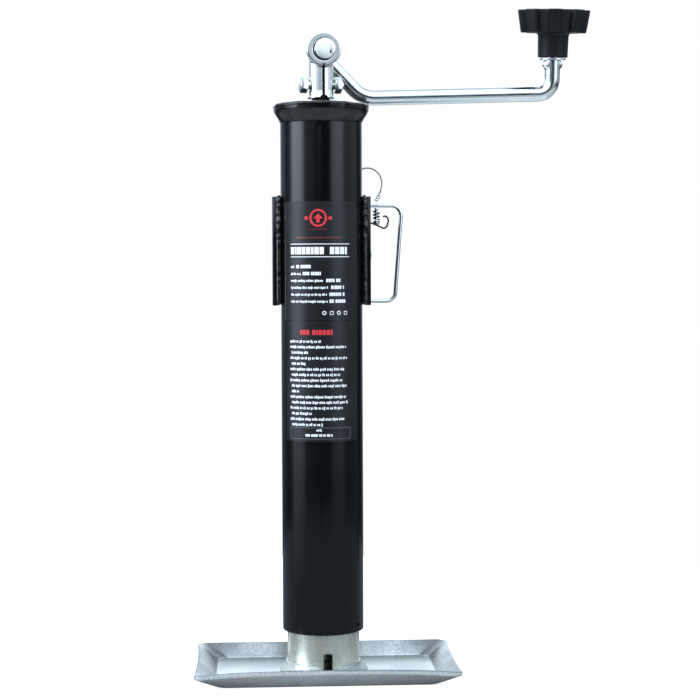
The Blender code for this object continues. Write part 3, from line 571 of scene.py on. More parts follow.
def smooth_route(points, per_span):
    """A Catmull-Rom curve through the points."""
    points = [Vector(p) for p in points]
    ends = [points[0] * 2 - points[1]] + points + [points[-1] * 2 - points[-2]]
    result = []
    for i in range(1, len(ends) - 2):
        a, b, c, d = ends[i - 1:i + 3]
        for k in range(per_span):
            t = k / per_span
            result.append(((b * 2) + (c - a) * t + (a * 2 - b * 5 + c * 4 - d) * t * t
                           + (b * 3 - a - c * 3 + d) * t ** 3) / 2)
    result.append(points[-1])
    return result


def threaded(name, low, high, crest, root, pitch, flat, finish, body, replaced=(), steps=40, turn=None,
             ends=None):
    """A screw thread between two heights. ends are extra turned (radius, height) points: below, then above."""
    below, above = ends or ([(0.0, low)], [(0.0, high)])
    phases = ((0.0, crest), (flat, crest), (0.5, root), (0.5 + flat, root))
    rows = [[spot] * steps for spot in below]
    for t in range(int((high - low) / pitch) + 3):
        for share, radius in phases:
            row = []
            for i in range(steps):
                z = low + (t + share - 1 + i / steps) * pitch
                row.append((radius if low < z < high else root, min(max(z, low), high)))
            rows.append(row)
    rows += [[spot] * steps for spot in above]
    points = [(r * cos(2 * pi * i / steps), r * sin(2 * pi * i / steps), z)
              for row in rows for i, (r, z) in enumerate(row)]
    first, last = len(below), len(rows) - len(above) - 1
    faces = []
    for j in range(len(rows) - 1):
        here, above_here = j * steps, (j + 1) * steps
        for i in range(steps - 1):
            faces.append((here + i, here + i + 1, above_here + i + 1, above_here + i))
        seam = steps - 1
        if not first <= j < last:
            faces.append((here + seam, here, above_here, above_here + seam))
        elif j + 5 <= last:
            faces.append((here + seam, (j + 4) * steps, (j + 5) * steps, above_here + seam))
    return piece(name, points, faces, finish, body, replaced, turn)


def spin(azimuth):
    """Turns +X to an azimuth in degrees; azimuth 0 is the jack's front."""
    return Matrix.Rotation(radians(-90.0 + azimuth), 4, "Z")


def shift(x, y, z):
    return Matrix.Translation((x, y, z))


ALONG_X = Matrix.Rotation(pi / 2, 4, "Y")       # local +Z to +X
ALONG_Y = Matrix.Rotation(-pi / 2, 4, "X")      # local +Z to +Y


def ripple(spot, scale, seed=0.0):
    """Smooth noise from about -1 to 1 at a point in millimetres."""
    return noise.noise(Vector(spot) / scale + Vector((seed, seed * 1.7, seed * 0.3))) * 1.6


# ---------------------------------------------------------------- housing

def outer_tube(paint):
    def uneven(spot, angle):
        """The flare is pressed by hand, so its rim waves a little."""
        share = max(0.0, min(1.0, (spot.z - 390.0) / 8.0))
        wave = 0.22 * sin(3 * angle + 0.8) + 0.15 * sin(5 * angle + 2.0) + 0.08 * sin(11 * angle)
        out = Vector((spot.x, spot.y, 0.0)).normalized()
        dent = 0.20 * ripple(spot, 4.5, 3.0) + 0.12 * ripple((spot.x, spot.y, spot.z * 2), 2.2, 8.0)
        return spot + (out * (wave * 0.8 + dent) + Z_UP * (wave * 0.7 + dent * 0.5)) * share

    outline = [
        (TUBE_BORE, TUBE_BOTTOM, 0.5), (TUBE_R, TUBE_BOTTOM, 0.7), (TUBE_R, 388.2, 3.0), (30.3, 391.4, 6.0),
        (31.9, 393.8, 2.0), (33.2, 396.3, 2.6), (33.4, 398.4, 1.0), (33.8, 400.4, 1.7),
        (31.6, RIM_TOP + 0.1, 1.5), (30.4, 398.6, 1.2), (28.6, 394.6, 3.0), (TUBE_BORE, 390.2, 3.0),
    ]
    tube = turned("outer_tube_shell", outline, paint, None, steps=FINE, wobble=uneven)
    holes = [rod(1.4, 22.0, 34.0, shift(0, 0, height) @ spin(azimuth) @ ALONG_X, 24)
             for azimuth, height in ((-4.5, 385.9), (56.0, 37.8))]
    combine(tube, holes, "DIFFERENCE")
    dress(tube, paint)
    settle(tube, "housing", "outer_tube")


def head_cap(paint):
    outline = [(8.5, 386.0), (25.3, 386.0), (25.3, 390.0, 1.0), (28.1, 394.3, 1.0), (30.0, 398.2),
               (30.0, 399.6, 0.6), (14.0, 398.9, 3.0), (12.0, 399.9, 0.8), (8.5, 399.9, 0.5)]
    turned("head_cap_plate", outline, paint, "housing", "head_cap", FINE)


def thrust_bearing(steel, bronze):
    for name, low, bore, body in (("upper", 382.7, 8.8, "housing"), ("lower", 373.9, 8.3, "crank")):
        groove = low if name == "upper" else low + 3.0
        deep = 0.7 if name == "upper" else -0.7
        face = [(10.4, groove), (11.4, groove + deep, 1.0), (13.4, groove + deep, 1.0), (14.4, groove)]
        back = low + 3.0 if name == "upper" else low
        outline = [(bore, groove, 0.3)] + face + [(16.0, groove, 0.5), (16.0, back, 0.4), (bore, back, 0.4)]
        turned(f"thrust_race_{name}", outline, steel, body, f"bearing_{name}_race", 96)
    middle = 379.8
    turned("ball_cage", [(9.2, middle - 0.8, 0.3), (15.6, middle - 0.8, 0.3), (15.6, middle + 0.8, 0.3),
                         (9.2, middle + 0.8, 0.3)], bronze, "cage", "bearing_cage", 96)
    track, ball = 12.4, 2.4
    points, faces = [], []
    for b in range(8):
        angle = 2 * pi * (b + 0.5) / 8
        first = len(points)
        for j in range(17):
            for i in range(24):
                a, e = 2 * pi * i / 24, pi * j / 16
                points.append((track * cos(angle) + ball * sin(e) * cos(a),
                               track * sin(angle) + ball * sin(e) * sin(a), middle + ball * cos(e)))
        faces += [tuple(first + v for v in face) for face in grid_faces(17, 24, wrap_rows=False)]
    piece("bearing_balls", points, faces, steel, "cage")


def saddle_bracket(paint):
    """The channel behind the tube: round back corners and front edges sheared at a slant."""
    half, wall = bracket_high.x, 4.9
    front, back = bracket_low.y, bracket_high.y
    outline = fillet([
        (-half, front, 0.6), (-half, back, 7.0), (half, back, 7.0), (half, front, 0.6),
        (half - wall, front, 0.6), (half - wall, back - wall, 2.2), (-half + wall, back - wall, 2.2),
        (-half + wall, front, 0.6)])
    bracket = prism("saddle_channel", outline, bracket_low.z, bracket_high.z, paint)
    cutters = []
    for side in (-1, 1):
        for z, way in ((bracket_high.z, 1), (bracket_low.z, -1)):
            corner = [(side * (half - 2.6), z + way * 2), (side * (half - wall - 2), z + way * 2),
                      (side * (half - wall - 2), z - way * 4.2), (side * (half - wall + 0.4), z - way * 2.4)]
            cutters.append(prism("guide", corner, -front - 9.0, -front + 3.0, None,
                                 turn=Matrix.Rotation(pi / 2, 4, "X")))
    cutters.append(rod(0.9, 25.0, 40.0, shift(17.0, 0, 332.6) @ ALONG_Y, 24))
    combine(bracket, cutters, "DIFFERENCE")
    rounding = bracket.modifiers.new("edges", "BEVEL")
    rounding.width, rounding.segments = 0.55 * MM, 3
    rounding.limit_method, rounding.angle_limit = "ANGLE", radians(40)
    bake(bracket)
    dress(bracket, paint)
    settle(bracket, "housing", "saddle_bracket")


def ring_bead(name, path, radius, finish, rough, seed):
    """A closed weld bead on the housing: ripples like a row of coins, with lumps."""
    path = [Vector(p) for p in path]
    run = [0.0]
    for a, b in zip(path, path[1:]):
        run.append(run[-1] + (b - a).length)

    def size(i, out):
        crest = abs(sin(pi * run[i] / 2.4))
        spot = path[i] + out * radius
        lump = ripple(spot, 3.2, seed) * rough + ripple(spot, 1.1, seed) * rough / 3
        return radius * (0.97 + 0.05 * crest + lump)

    swept(name, path, size, finish, "housing", (), 20, True, sharp=60.0)


def bracket_welds(paint):
    """Beads between the tube and the channel's front edges; their tops are lumpier."""
    low, high = bracket_low.z + 0.6, bracket_high.z + 0.8
    for name, side in (("left", -1), ("right", 1)):
        path = []
        for i in range(131):
            z = low + (high - low) * i / 130
            lumpy = 0.12 + 0.88 * max(0.0, min(1.0, (z - 302.0) / 12.0))
            path.append((side * (29.9 + 0.3 * lumpy * ripple((z, side * 9, 0), 4.0)),
                         -6.3 + 0.6 * lumpy * ripple((z, 0, side * 5), 3.0), z))

        def size(i, out, path=path, side=side):
            lumpy = max(0.0, min(1.0, (path[i][2] - 302.0) / 12.0))
            spot = Vector(path[i]) + out * 3.0
            end = min(1.0, sqrt((min(i, 130 - i) + 0.4) / 4.0))
            return 2.15 * max(0.35, end) * (1 + (0.05 + 0.10 * lumpy) * ripple(spot, 3.4, side * 2.3)
                                            + 0.05 * lumpy * ripple(spot, 1.2, side))

        swept(f"bracket_weld_{name}", path, size, paint, "housing", f"weld_{name}", 28,
              sharp=60.0)


def swivel_sleeve(paint):
    bore, end = 23.5, sleeve_high.y
    radius = (sleeve_high.x - sleeve_low.x) / 2
    sleeve = turned("swivel_sleeve_tube", [
        (bore + 1.3, sleeve_low.y), (radius, sleeve_low.y), (radius, end, 0.9), (bore, end, 0.6),
        (bore, 42.5, 0.2), (bore + 1.3, 42.5)],
        paint, None, steps=FINE, turn=shift(0, 0, MOUNT_Z) @ ALONG_Y)
    combine(sleeve, [rod(5.3, 15.0, 32.0, shift(0, PIN_Y, MOUNT_Z) @ ALONG_X, 48)], "DIFFERENCE")
    dress(sleeve, paint)
    settle(sleeve, "housing", "swivel_sleeve")
    path = []
    for i in range(180):
        angle = 2 * pi * i / 180
        path.append(((radius + 0.7) * cos(angle), sleeve_low.y + 0.7, MOUNT_Z + (radius + 0.7) * sin(angle)))
    ring_bead("sleeve_weld", path, 2.5, paint, 0.1, 4.0)


# ---------------------------------------------------------------- labels

LABEL_MIDDLE = -93.2            # degrees about Z
LABEL_REACH = 58.0
PRINT_MIDDLE = -95.3


def wrapped(angle_range, z_range, radii, step=2.5):
    """A thin curved slab: its points and faces."""
    low_a, high_a = angle_range
    count = max(1, int(abs(high_a - low_a) / step)) + 1
    points = []
    for z in z_range:
        for radius in radii:
            for i in range(count + 1):
                angle = radians(low_a + (high_a - low_a) * i / count)
                points.append((radius * cos(angle), radius * sin(angle), z))
    n = count + 1
    faces = []
    for i in range(count):
        faces += [(i, i + 1, n + i + 1, n + i), (2 * n + i, 2 * n + i + 1, 3 * n + i + 1, 3 * n + i),
                  (i, i + 1, 2 * n + i + 1, 2 * n + i), (n + i, n + i + 1, 3 * n + i + 1, 3 * n + i)]
    faces += [(0, n, 3 * n, 2 * n), (count, n + count, 3 * n + count, 2 * n + count)]
    return points, faces


def label_sheet(name, node, vinyl):
    low, high = cad(node)
    inner, outer = TUBE_R + 0.04, TUBE_R + 0.20
    reach = (LABEL_MIDDLE - LABEL_REACH, LABEL_MIDDLE + LABEL_REACH)
    points, faces = wrapped(reach, (low.z, high.z), (inner, outer))
    piece(name, points, faces, vinyl, "housing", node)


class Print:
    """Marks on a label, in millimetres: s runs to the right round the tube, z is the height."""

    def __init__(self):
        self.points, self.faces = [], []

    def bar(self, s0, s1, z0, z1):
        radius = TUBE_R + 0.20
        angles = [PRINT_MIDDLE + degrees(s / radius) for s in (s0, s1)]
        points, faces = wrapped(angles, (z0, z1), (radius - 0.02, radius + 0.03))
        first = len(self.points)
        self.points += points
        self.faces += [tuple(first + v for v in face) for face in faces]

    def frame(self, s0, s1, z0, z1, line):
        self.bar(s0, s1, z0, z0 + line)
        self.bar(s0, s1, z1 - line, z1)
        self.bar(s0, s0 + line, z0, z1)
        self.bar(s1 - line, s1, z0, z1)

    def words(self, s0, s1, z, height, seed, letter=0.86, caps=False, solid=False):
        """A row of blank blocks in the rhythm of words."""
        s, index, left = s0, 0, 2 + seed % 5
        while s + letter <= s1:
            tall = 1.0 if caps or (index * 7 + seed * 3) % 5 == 0 else 0.76
            drop = 0.22 * height if not caps and (index * 5 + seed) % 7 == 3 else 0.0
            width = letter * (0.45 if (index + seed) % 4 == 1 else 0.80 if caps else 0.72)
            self.bar(s, s + width, z - drop, z + height * tall)
            s += width + letter * (0.16 if caps else 0.26)
            index, left = index + 1, left - 1
            if left == 0 and not solid:
                s += letter * 0.55
                left = 2 + (index * 3 + seed) % 6

    def finish(self, name, finish):
        piece(name, self.points, self.faces, finish, "housing", merge=0.0005)


def ring_marks(sheet, s, z, outer, inner, steps=40):
    """A ring drawn with short upright bars that follow its curve."""
    for i in range(steps):
        x0 = -outer + 2 * outer * i / steps
        x1 = x0 + 2 * outer / steps
        middle = (x0 + x1) / 2
        top = sqrt(max(0.0, outer ** 2 - middle ** 2))
        hole = sqrt(max(0.0, inner ** 2 - middle ** 2))
        if hole < 0.05:
            sheet.bar(s + x0, s + x1, z - top, z + top)
        else:
            sheet.bar(s + x0, s + x1, z + hole, z + top)
            sheet.bar(s + x0, s + x1, z - top, z - hole)


def wedge_marks(sheet, s, z, half, height, steps=20):
    """An upward triangle, as a stair of thin bars."""
    for i in range(steps):
        share = 1 - i / steps
        sheet.bar(s - half * share, s + half * share, z + height * i / steps, z + height * (i + 1) / steps)


def labels(vinyl, white, red, dim_red):
    label_sheet("label_sheet_upper", "label_upper", vinyl)
    label_sheet("label_sheet_lower", "label_lower", vinyl)
    top = cad("label_upper")[1].z
    marks = Print()
    ring_marks(marks, -0.8, top - 11.4, 6.1, 4.7)
    wedge_marks(marks, -0.8, top - 11.8, 3.1, 3.4)
    marks.bar(-1.9, 0.3, top - 14.6, top - 11.8)
    for side in (-1, 1):
        marks.bar(-0.8 + side * 7.2, -0.8 + side * 9.6, top - 12.5, top - 10.3)
    marks.words(-14.2, 12.8, top - 91.7, 3.4, 1, 2.9, True)
    marks.finish("label_print_red", red)

    marks = Print()
    marks.words(-7.6, 6.0, top - 19.4, 0.6, 5, 0.75)
    marks.words(-17.0, 16.4, top - 25.4, 1.2, 3, 0.9)
    marks.finish("label_print_small", dim_red)

    marks = Print()
    marks.bar(-22.4, 22.2, top - 29.5, top - 29.0)
    marks.bar(-22.4, 22.2, top - 38.3, top - 37.8)
    marks.words(-22.2, 4.4, top - 36.3, 5.0, 4, 3.7, True, True)
    marks.words(7.2, 22.8, top - 36.3, 5.0, 6, 3.9, True, True)
    bold = ((-17.4, -5.0), (-12.0, 2.0), (4.6, 15.2), (8.0, 18.6), (6.8, 20.0), (6.8, 20.4))
    for row, (start, end) in enumerate(bold):
        z = top - 45.7 - 4.76 * row
        marks.words(-22.2, start - 1.0, z, 1.7, row + 2, 1.05)
        marks.words(start, end, z - 0.2, 2.3, row + 5, 1.75, True)
    for i in range(4):
        s = 3.2 + 5.2 * i
        if i % 2:
            marks.frame(s - 1.3, s + 1.3, top - 77.9, top - 75.4, 0.4)
        else:
            ring_marks(marks, s, top - 76.6, 1.4, 0.85, 12)
    ends = (1.5, 19.5, -8.0, 20.5, -10.0, 18.6, 15.8, 16.4, 21.0, -13.5, 20.0, 21.2, 17.6, -5.0, 18.2, 3.0)
    for row, end in enumerate(ends):
        start = -23.4 if row in (0, 1, 3, 5, 7, 10, 12, 14) else -22.0
        marks.words(start, end, top - 97.1 - 3.83 * row, 1.9, row + 3, 1.15)
    marks.words(-2.6, 2.4, top - 158.2, 1.5, 2, 1.1)
    marks.words(-10.5, 9.0, top - 161.9, 1.7, 6, 1.2, True)
    marks.finish("label_print_white", white)

    marks = Print()
    marks.frame(-23.6, 22.6, top - 163.6, top - 155.8, 0.22)
    # a painted highlight along the label's cut edge
    marks.bar(-29.2, -28.95, top - 81.6, top - 0.5)
    marks.finish("label_outline", edge_highlight_and_hairline())


def edge_highlight_and_hairline():
    """Painted highlight on the vinyl's cut edge, and the hairline print."""
    made, g, shader, place = surface("label_edge_highlight_and_hairline")
    g.fill(shader, "Base Color", g.mix(clouds(g, place, 700.0), (0.10, 0.11, 0.12), (0.20, 0.21, 0.22)))
    g.fill(shader, "Roughness", g.ramp(clouds(g, place, 90.0), 0.3, 0.7, 0.40, 0.50))
    return made


# ---------------------------------------------------------------- cable, plunger and clip

LANYARD = [
    (17.0, 37.6, 332.6), (17.4, 40.0, 336.5), (18.6, 39.6, 343.0), (21.6, 37.8, 350.0), (26.4, 36.0, 355.6),
    (32.0, 34.8, 358.3), (36.6, 34.2, 358.4), (40.1, 34.0, 357.0), (43.6, 33.8, 353.2), (45.0, 33.6, 347.9),
    (44.2, 33.6, 342.9), (42.9, 33.7, 339.4),
]
KEEPER = Vector((41.0, 33.8, 317.8))     # the middle of the plunger's foot


def lanyard(wire, zinc):
    """A steel cable of six strands round a core, crimped in a ferrule."""
    route = smooth_route(LANYARD, 14)
    count = len(route)
    run, total = [0.0], 0.0
    for a, b in zip(route, route[1:]):
        total += (b - a).length
        run.append(total)
    tangents = [(route[min(i + 1, count - 1)] - route[max(i - 1, 0)]).normalized() for i in range(count)]
    normal = tangents[0].orthogonal().normalized()
    frames = []
    for tangent in tangents:
        normal = (normal - tangent * normal.dot(tangent)).normalized()
        frames.append((normal.copy(), tangent.cross(normal)))
    points, faces, lay, strand = [], [], 5.2, 0.19
    for s in range(7):
        first = len(points)
        for i in range(count):
            turn = 2 * pi * (run[i] / lay + s / 6)
            out = (frames[i][0] * cos(turn) + frames[i][1] * sin(turn)) * (0.0 if s == 6 else 0.37)
            for k in range(7):
                angle = 2 * pi * k / 7
                points.append(route[i] + out + (frames[i][0] * cos(angle) + frames[i][1] * sin(angle)) * strand)
        faces += [tuple(first + v for v in face) for face in grid_faces(count, 7, wrap_rows=False)]
        faces += [tuple(first + k for k in range(7)), tuple(first + (count - 1) * 7 + k for k in range(7))]
    piece("lanyard_cable", points, faces, wire, "housing", "lanyard", sharp=80.0)
    start = Vector(LANYARD[0])
    outline = [(0.0, 0.0), (1.5, 0.0, 0.2), (1.9, 0.4, 0.3), (1.9, 1.2, 0.4), (1.2, 1.7, 0.4), (0.0, 1.7)]
    turned("lanyard_rivet", outline, zinc, "housing", "lanyard_anchor", 32,
           shift(start.x, start.y - 2.4, start.z - 1.5) @ ALONG_Y)
    end, way = Vector(LANYARD[-1]), Vector((-2.5, 0.1, -4.8)).normalized()
    path = [end + way * (0.1 + 4.9 * i / 24) for i in range(25)]

    def crimped(i, out):
        share = i / 24
        squeeze = 0.35 * exp_bump(share, 0.33, 0.12) + 0.35 * exp_bump(share, 0.68, 0.12)
        return (1.45 if 0.04 < share < 0.96 else 1.15) - squeeze * abs(out.y)

    swept("cable_ferrule", path, crimped, zinc, "housing", "lanyard_ferrule", 24)


def exp_bump(value, middle, width):
    return max(0.0, 1.0 - ((value - middle) / width) ** 2) ** 2


def keeper(zinc, dark):
    """The plunger with its coil spring by the cable's end, and the wire clip below it."""
    outline = [(0.0, 0.0), (1.9, 0.0, 0.4), (2.6, 2.9, 0.2), (2.0, 2.9, 0.2), (1.6, 1.6, 0.3),
               (1.0, 1.6, 0.2), (1.0, 11.0, 0.2), (1.6, 11.4, 0.2), (1.6, 12.2, 0.4), (0.0, 12.2)]
    turned("keeper_plunger", outline, zinc, "housing", "keeper_pin", 48, shift(*KEEPER))
    turns, steps = 2.75, 40
    total = int(turns * steps)
    path = []
    for i in range(total + 1):
        angle = 2 * pi * i / steps
        path.append(KEEPER + Vector((2.2 * cos(angle), 2.2 * sin(angle), 3.8 + 6.3 * i / total)))
    swept("keeper_coil", path, 0.5, dark, "housing", "keeper_spring", 14, ends=0.1)
    hook = [(34.5, 320.0), (37.5, 318.9), (40.2, 317.9), (42.9, 316.6), (45.0, 315.6), (46.6, 315.4),
            (48.0, 316.5), (48.9, 318.6), (49.3, 321.0), (48.6, 323.0), (47.2, 324.0), (45.6, 323.6)]
    route = smooth_route([(x, 30.0, z) for x, z in hook], 8)
    swept("clip_wire", route, 0.62, dark, "housing", "keeper_clip", 14, ends=0.15)


# ---------------------------------------------------------------- crank

def lead_screw(steel, slit_shade_finish):
    """The screw; its top end, seen through the socket's slit, is black: painted shade for the inside of the
    slit.
    """
    foot = [(0.0, screw_low.z), (6.2, screw_low.z), (6.7, screw_low.z + 0.6), (6.7, 71.4)]
    head = [(7.9, 367.2), (12.4, 368.0), (12.5, 368.2), (12.5, 373.4), (12.3, 373.6), (7.94, 373.6),
            (7.94, 402.2), (6.0, 403.2), (6.0, screw_high.z - 1.0), (5.0, screw_high.z), (0.0, screw_high.z)]
    screw = threaded("threaded_screw", 72.0, 366.5, 7.94, 6.6, 3.175, 0.30, [steel, slit_shade_finish],
                     "crank", "lead_screw", ends=(foot, head), turn=CRANK)
    # faces above 402 mm, inside the socket, get the painted shade
    for face in screw.data.polygons:
        face.material_index = int(face.center.z > 402.0 * MM)


def screw_stop(zinc, steel):
    low = screw_low.z + 5.5
    outline = [(7.0, low, 0.2), (15.0, low, 0.5), (15.0, low + 2.6, 0.5), (7.0, low + 2.6, 0.2)]
    turned("stop_washer_plate", outline, zinc, "crank", "stop_washer", 96, CRANK)
    turned("roll_pin", [(0.7, -11.0, 0.1), (1.4, -11.0, 0.3), (1.6, -10.4), (1.6, 10.4), (1.4, 11.0, 0.3),
                        (0.7, 11.0, 0.1)], steel, "crank", "stop_pin", 40,
           CRANK @ shift(0, 0, screw_low.z + 3.2) @ ALONG_X)


def crank_socket(zinc):
    """A pressed yoke: a split sleeve that clamps the screw, running up into an eye."""
    bottom = socket_low.z
    sleeve = turned("crank_yoke", [(6.3, bottom), (9.2, bottom), (9.45, bottom + 0.9), (8.9, bottom + 2.8),
                                   (8.7, bottom + 5.5), (8.7, 434.0), (6.3, 434.0)], None, None, steps=96)
    low, high = -10.0, 5.0
    edge = 0.6
    eye_turn = shift(EYE.x, 0, EYE.z) @ ALONG_Y
    outline = [(0.0, low), (EYE_R - edge, low, 0.4), (EYE_R, low + edge, 0.4), (EYE_R, -6.0, 3.0),
               (EYE_R - 1.6, -2.0, 3.0), (EYE_R - 1.8, high - 0.6, 0.4), (EYE_R - 2.4, high), (0.0, high)]
    eye = turned("guide", outline, None, None, steps=96, turn=eye_turn)
    combine(sleeve, [eye], "UNION")
    frame_turn = Matrix.Rotation(SLIT_TURN, 4, "Z")
    slit = prism("guide", [(-0.95, -15.0), (0.95, -15.0), (0.95, 15.0), (-0.95, 15.0)], 400.0, 428.1, None,
                 turn=frame_turn)
    mouth = rod(3.0, -15.0, 15.0, frame_turn @ shift(0.2, 0, bottom - 0.6) @ ALONG_Y, 40)
    cross = rod(3.4, -12.0, 12.0, frame_turn @ shift(0, 0, BOLT_Z) @ ALONG_X, 40)
    bore = rod(EYE_BORE, -14.0, 14.0, eye_turn, 96)
    combine(sleeve, [slit, mouth, cross, bore], "DIFFERENCE")
    soften(sleeve, 0.28, 3)
    sleeve.data.transform(CRANK)
    dress(sleeve, zinc, 70.0)
    settle(sleeve, "crank", "crank_socket")


def soften(made, voxel, rounds):
    """Remesh finely and smooth, so that every edge gets the small radius of a pressed part."""
    remesh = made.modifiers.new("remesh", "REMESH")
    remesh.mode, remesh.voxel_size = "VOXEL", voxel * MM
    smooth = made.modifiers.new("smooth", "SMOOTH")
    smooth.factor, smooth.iterations = 0.5, rounds
    bake(made)


def eye_bush(steel):
    low, high = -8.6, 4.7
    outline = [(6.5, low, 0.3), (7.4, low, 0.3), (7.4, high, 0.3), (6.5, high, 0.3)]
    turned("eye_bushing", outline, steel, "crank", "eye_bush", 72,
           CRANK @ shift(EYE.x, 0, EYE.z) @ ALONG_Y)


def hexagon(flats):
    reach = flats / 2 / cos(pi / 6)
    return [(reach * cos(pi / 3 * i), reach * sin(pi / 3 * i)) for i in range(6)]


def clamp_bolt(zinc):
    """A hexagon bolt and nut with turned chamfers, washer faces and a rolled thread."""
    place = CRANK @ Matrix.Rotation(SLIT_TURN, 4, "Z") @ shift(0, 0, BOLT_Z) @ ALONG_X
    flats, across = 10.0, 5.75
    head = prism("bolt_head", hexagon(flats), -15.2, -9.9, None)
    dome = turned("guide", [(0.0, -15.2), (4.5, -15.2, 0.4), (across + 0.1, -14.45), (across + 0.1, -10.3),
                            (4.8, -10.1, 0.2), (4.8, -9.8), (0.0, -9.8)], None, None, steps=72)
    combine(head, [dome], "INTERSECT")
    head.data.transform(Matrix.Scale(1 / MM, 4))
    finish_hex(head, "clamp_bolt_head", place, zinc, "socket_bolt")
    threaded("clamp_bolt_thread", 2.0, 15.6, 2.98, 2.55, 1.0, 0.12, zinc, "crank", (),
             ends=([(0.0, -10.0), (2.98, -10.0), (2.98, 1.6)], [(2.3, 16.1), (0.0, 16.1)]), turn=place)
    nut = prism("clamp_nut", hexagon(flats), 9.5, 14.4, None)
    barrel = turned("guide", [(0.0, 9.5), (4.9, 9.5), (across + 0.1, 10.1), (across + 0.1, 13.8), (4.9, 14.4),
                              (0.0, 14.4)], None, None, steps=72)
    combine(nut, [barrel], "INTERSECT")
    hole = turned("guide", [(0.0, 8.0), (3.9, 8.0), (3.9, 9.6), (3.2, 10.3), (3.2, 13.6), (3.9, 14.3),
                            (3.9, 16.0), (0.0, 16.0)], None, None, steps=48)
    combine(nut, [hole], "DIFFERENCE")
    nut.data.transform(Matrix.Scale(1 / MM, 4))
    finish_hex(nut, "clamp_nut_body", place, zinc, "socket_nut")


def finish_hex(made, name, place, finish, node):
    """Round a small hexagon's edges and put it in its place (its mesh is in millimetres here)."""
    made.name = name
    rounding = made.modifiers.new("edges", "BEVEL")
    rounding.width, rounding.segments = 0.16, 2
    rounding.limit_method, rounding.angle_limit = "ANGLE", radians(32)
    bake(made)
    made.data.transform(Matrix.Scale(MM, 4) @ place)
    dress(made, finish, 40.0)
    settle(made, "crank", node)


# ---------------------------------------------------------------- handle and knob

def handle_rod(zinc, rough_zinc):
    slant = Vector((cos(SLANT), 0.0, -sin(SLANT)))
    out, back = Vector((1.0, 0.0, ARM_RISE)).normalized(), Vector((0.0, 1.0, 0.0))
    fall = tan(SLANT)
    elbow_x = (EYE.z + EYE.x * fall - ARM_Z0) / (fall + ARM_RISE)
    elbow = Vector((elbow_x, ROD_PLANE, ARM_Z0 + ARM_RISE * elbow_x))
    shifted = Vector((0.75, 0.0, 0.3))          # the rod sits loose in its bore
    depths = (-12.75, -12.6, -12.3, -11.8, -10.6, -10.35, -10.2, -10.1)
    head = [EYE + shifted + Vector((0, depth, 0)) for depth in depths]
    head_radii = [6.3, 6.85, 7.1, 7.2, 7.2, 6.8, 5.8, ROD_R]
    neck = [EYE + shifted * (1 - k / 6) + Vector((0, -8.0 + 2.0 * k, 0)) for k in range(7)]
    path = bend(EYE + back * ROD_PLANE, back, slant, 10.0, 14)
    path += bend(elbow, slant, out, 20.0, 14)
    arm_start, arm_end = path[-1], HEEL - out * 10.8
    path += [arm_start.lerp(arm_end, k / 12) for k in range(1, 12)]
    path += bend(HEEL, out, LEAN @ Z_UP, 10.5, 16)
    heights = [424.0 + 0.5 * k for k in range(23)] + [435.2, 435.5, 450.0, 466.0, 468.2, 468.8]
    riser = [SPINDLE @ Vector((0.0, 0.0, z)) for z in heights]
    points = head + neck + path + riser
    radii = head_radii + [ROD_R] * (len(neck) + len(path) + 23) + [ROD_R, 5.0, 5.0, 5.0, 5.0, 4.4]
    first_riser = len(points) - len(riser)

    def size(i, way):
        """The rod is pinched below the knob, which squeezes an ear out at each side."""
        radius = radii[i]
        if i >= first_riser and heights[i - first_riser] < 435.4:
            radius += 1.9 * exp_bump(heights[i - first_riser], 432.3, 3.8) * abs(way.x) ** 6
        if i < 2:
            radius += 0.12 * ripple(way * 6, 2.0, 3.0)
        return radius

    made = swept("crank_handle", points, size, [zinc, rough_zinc], "handle", "handle_rod", 48,
                 turn=CRANK, ends=0.25)
    front = min(v.co.y for v in made.data.vertices)
    for face in made.data.polygons:
        if face.center.y < front + 0.6 * MM and abs(face.normal.y) > 0.7:
            face.material_index = 1


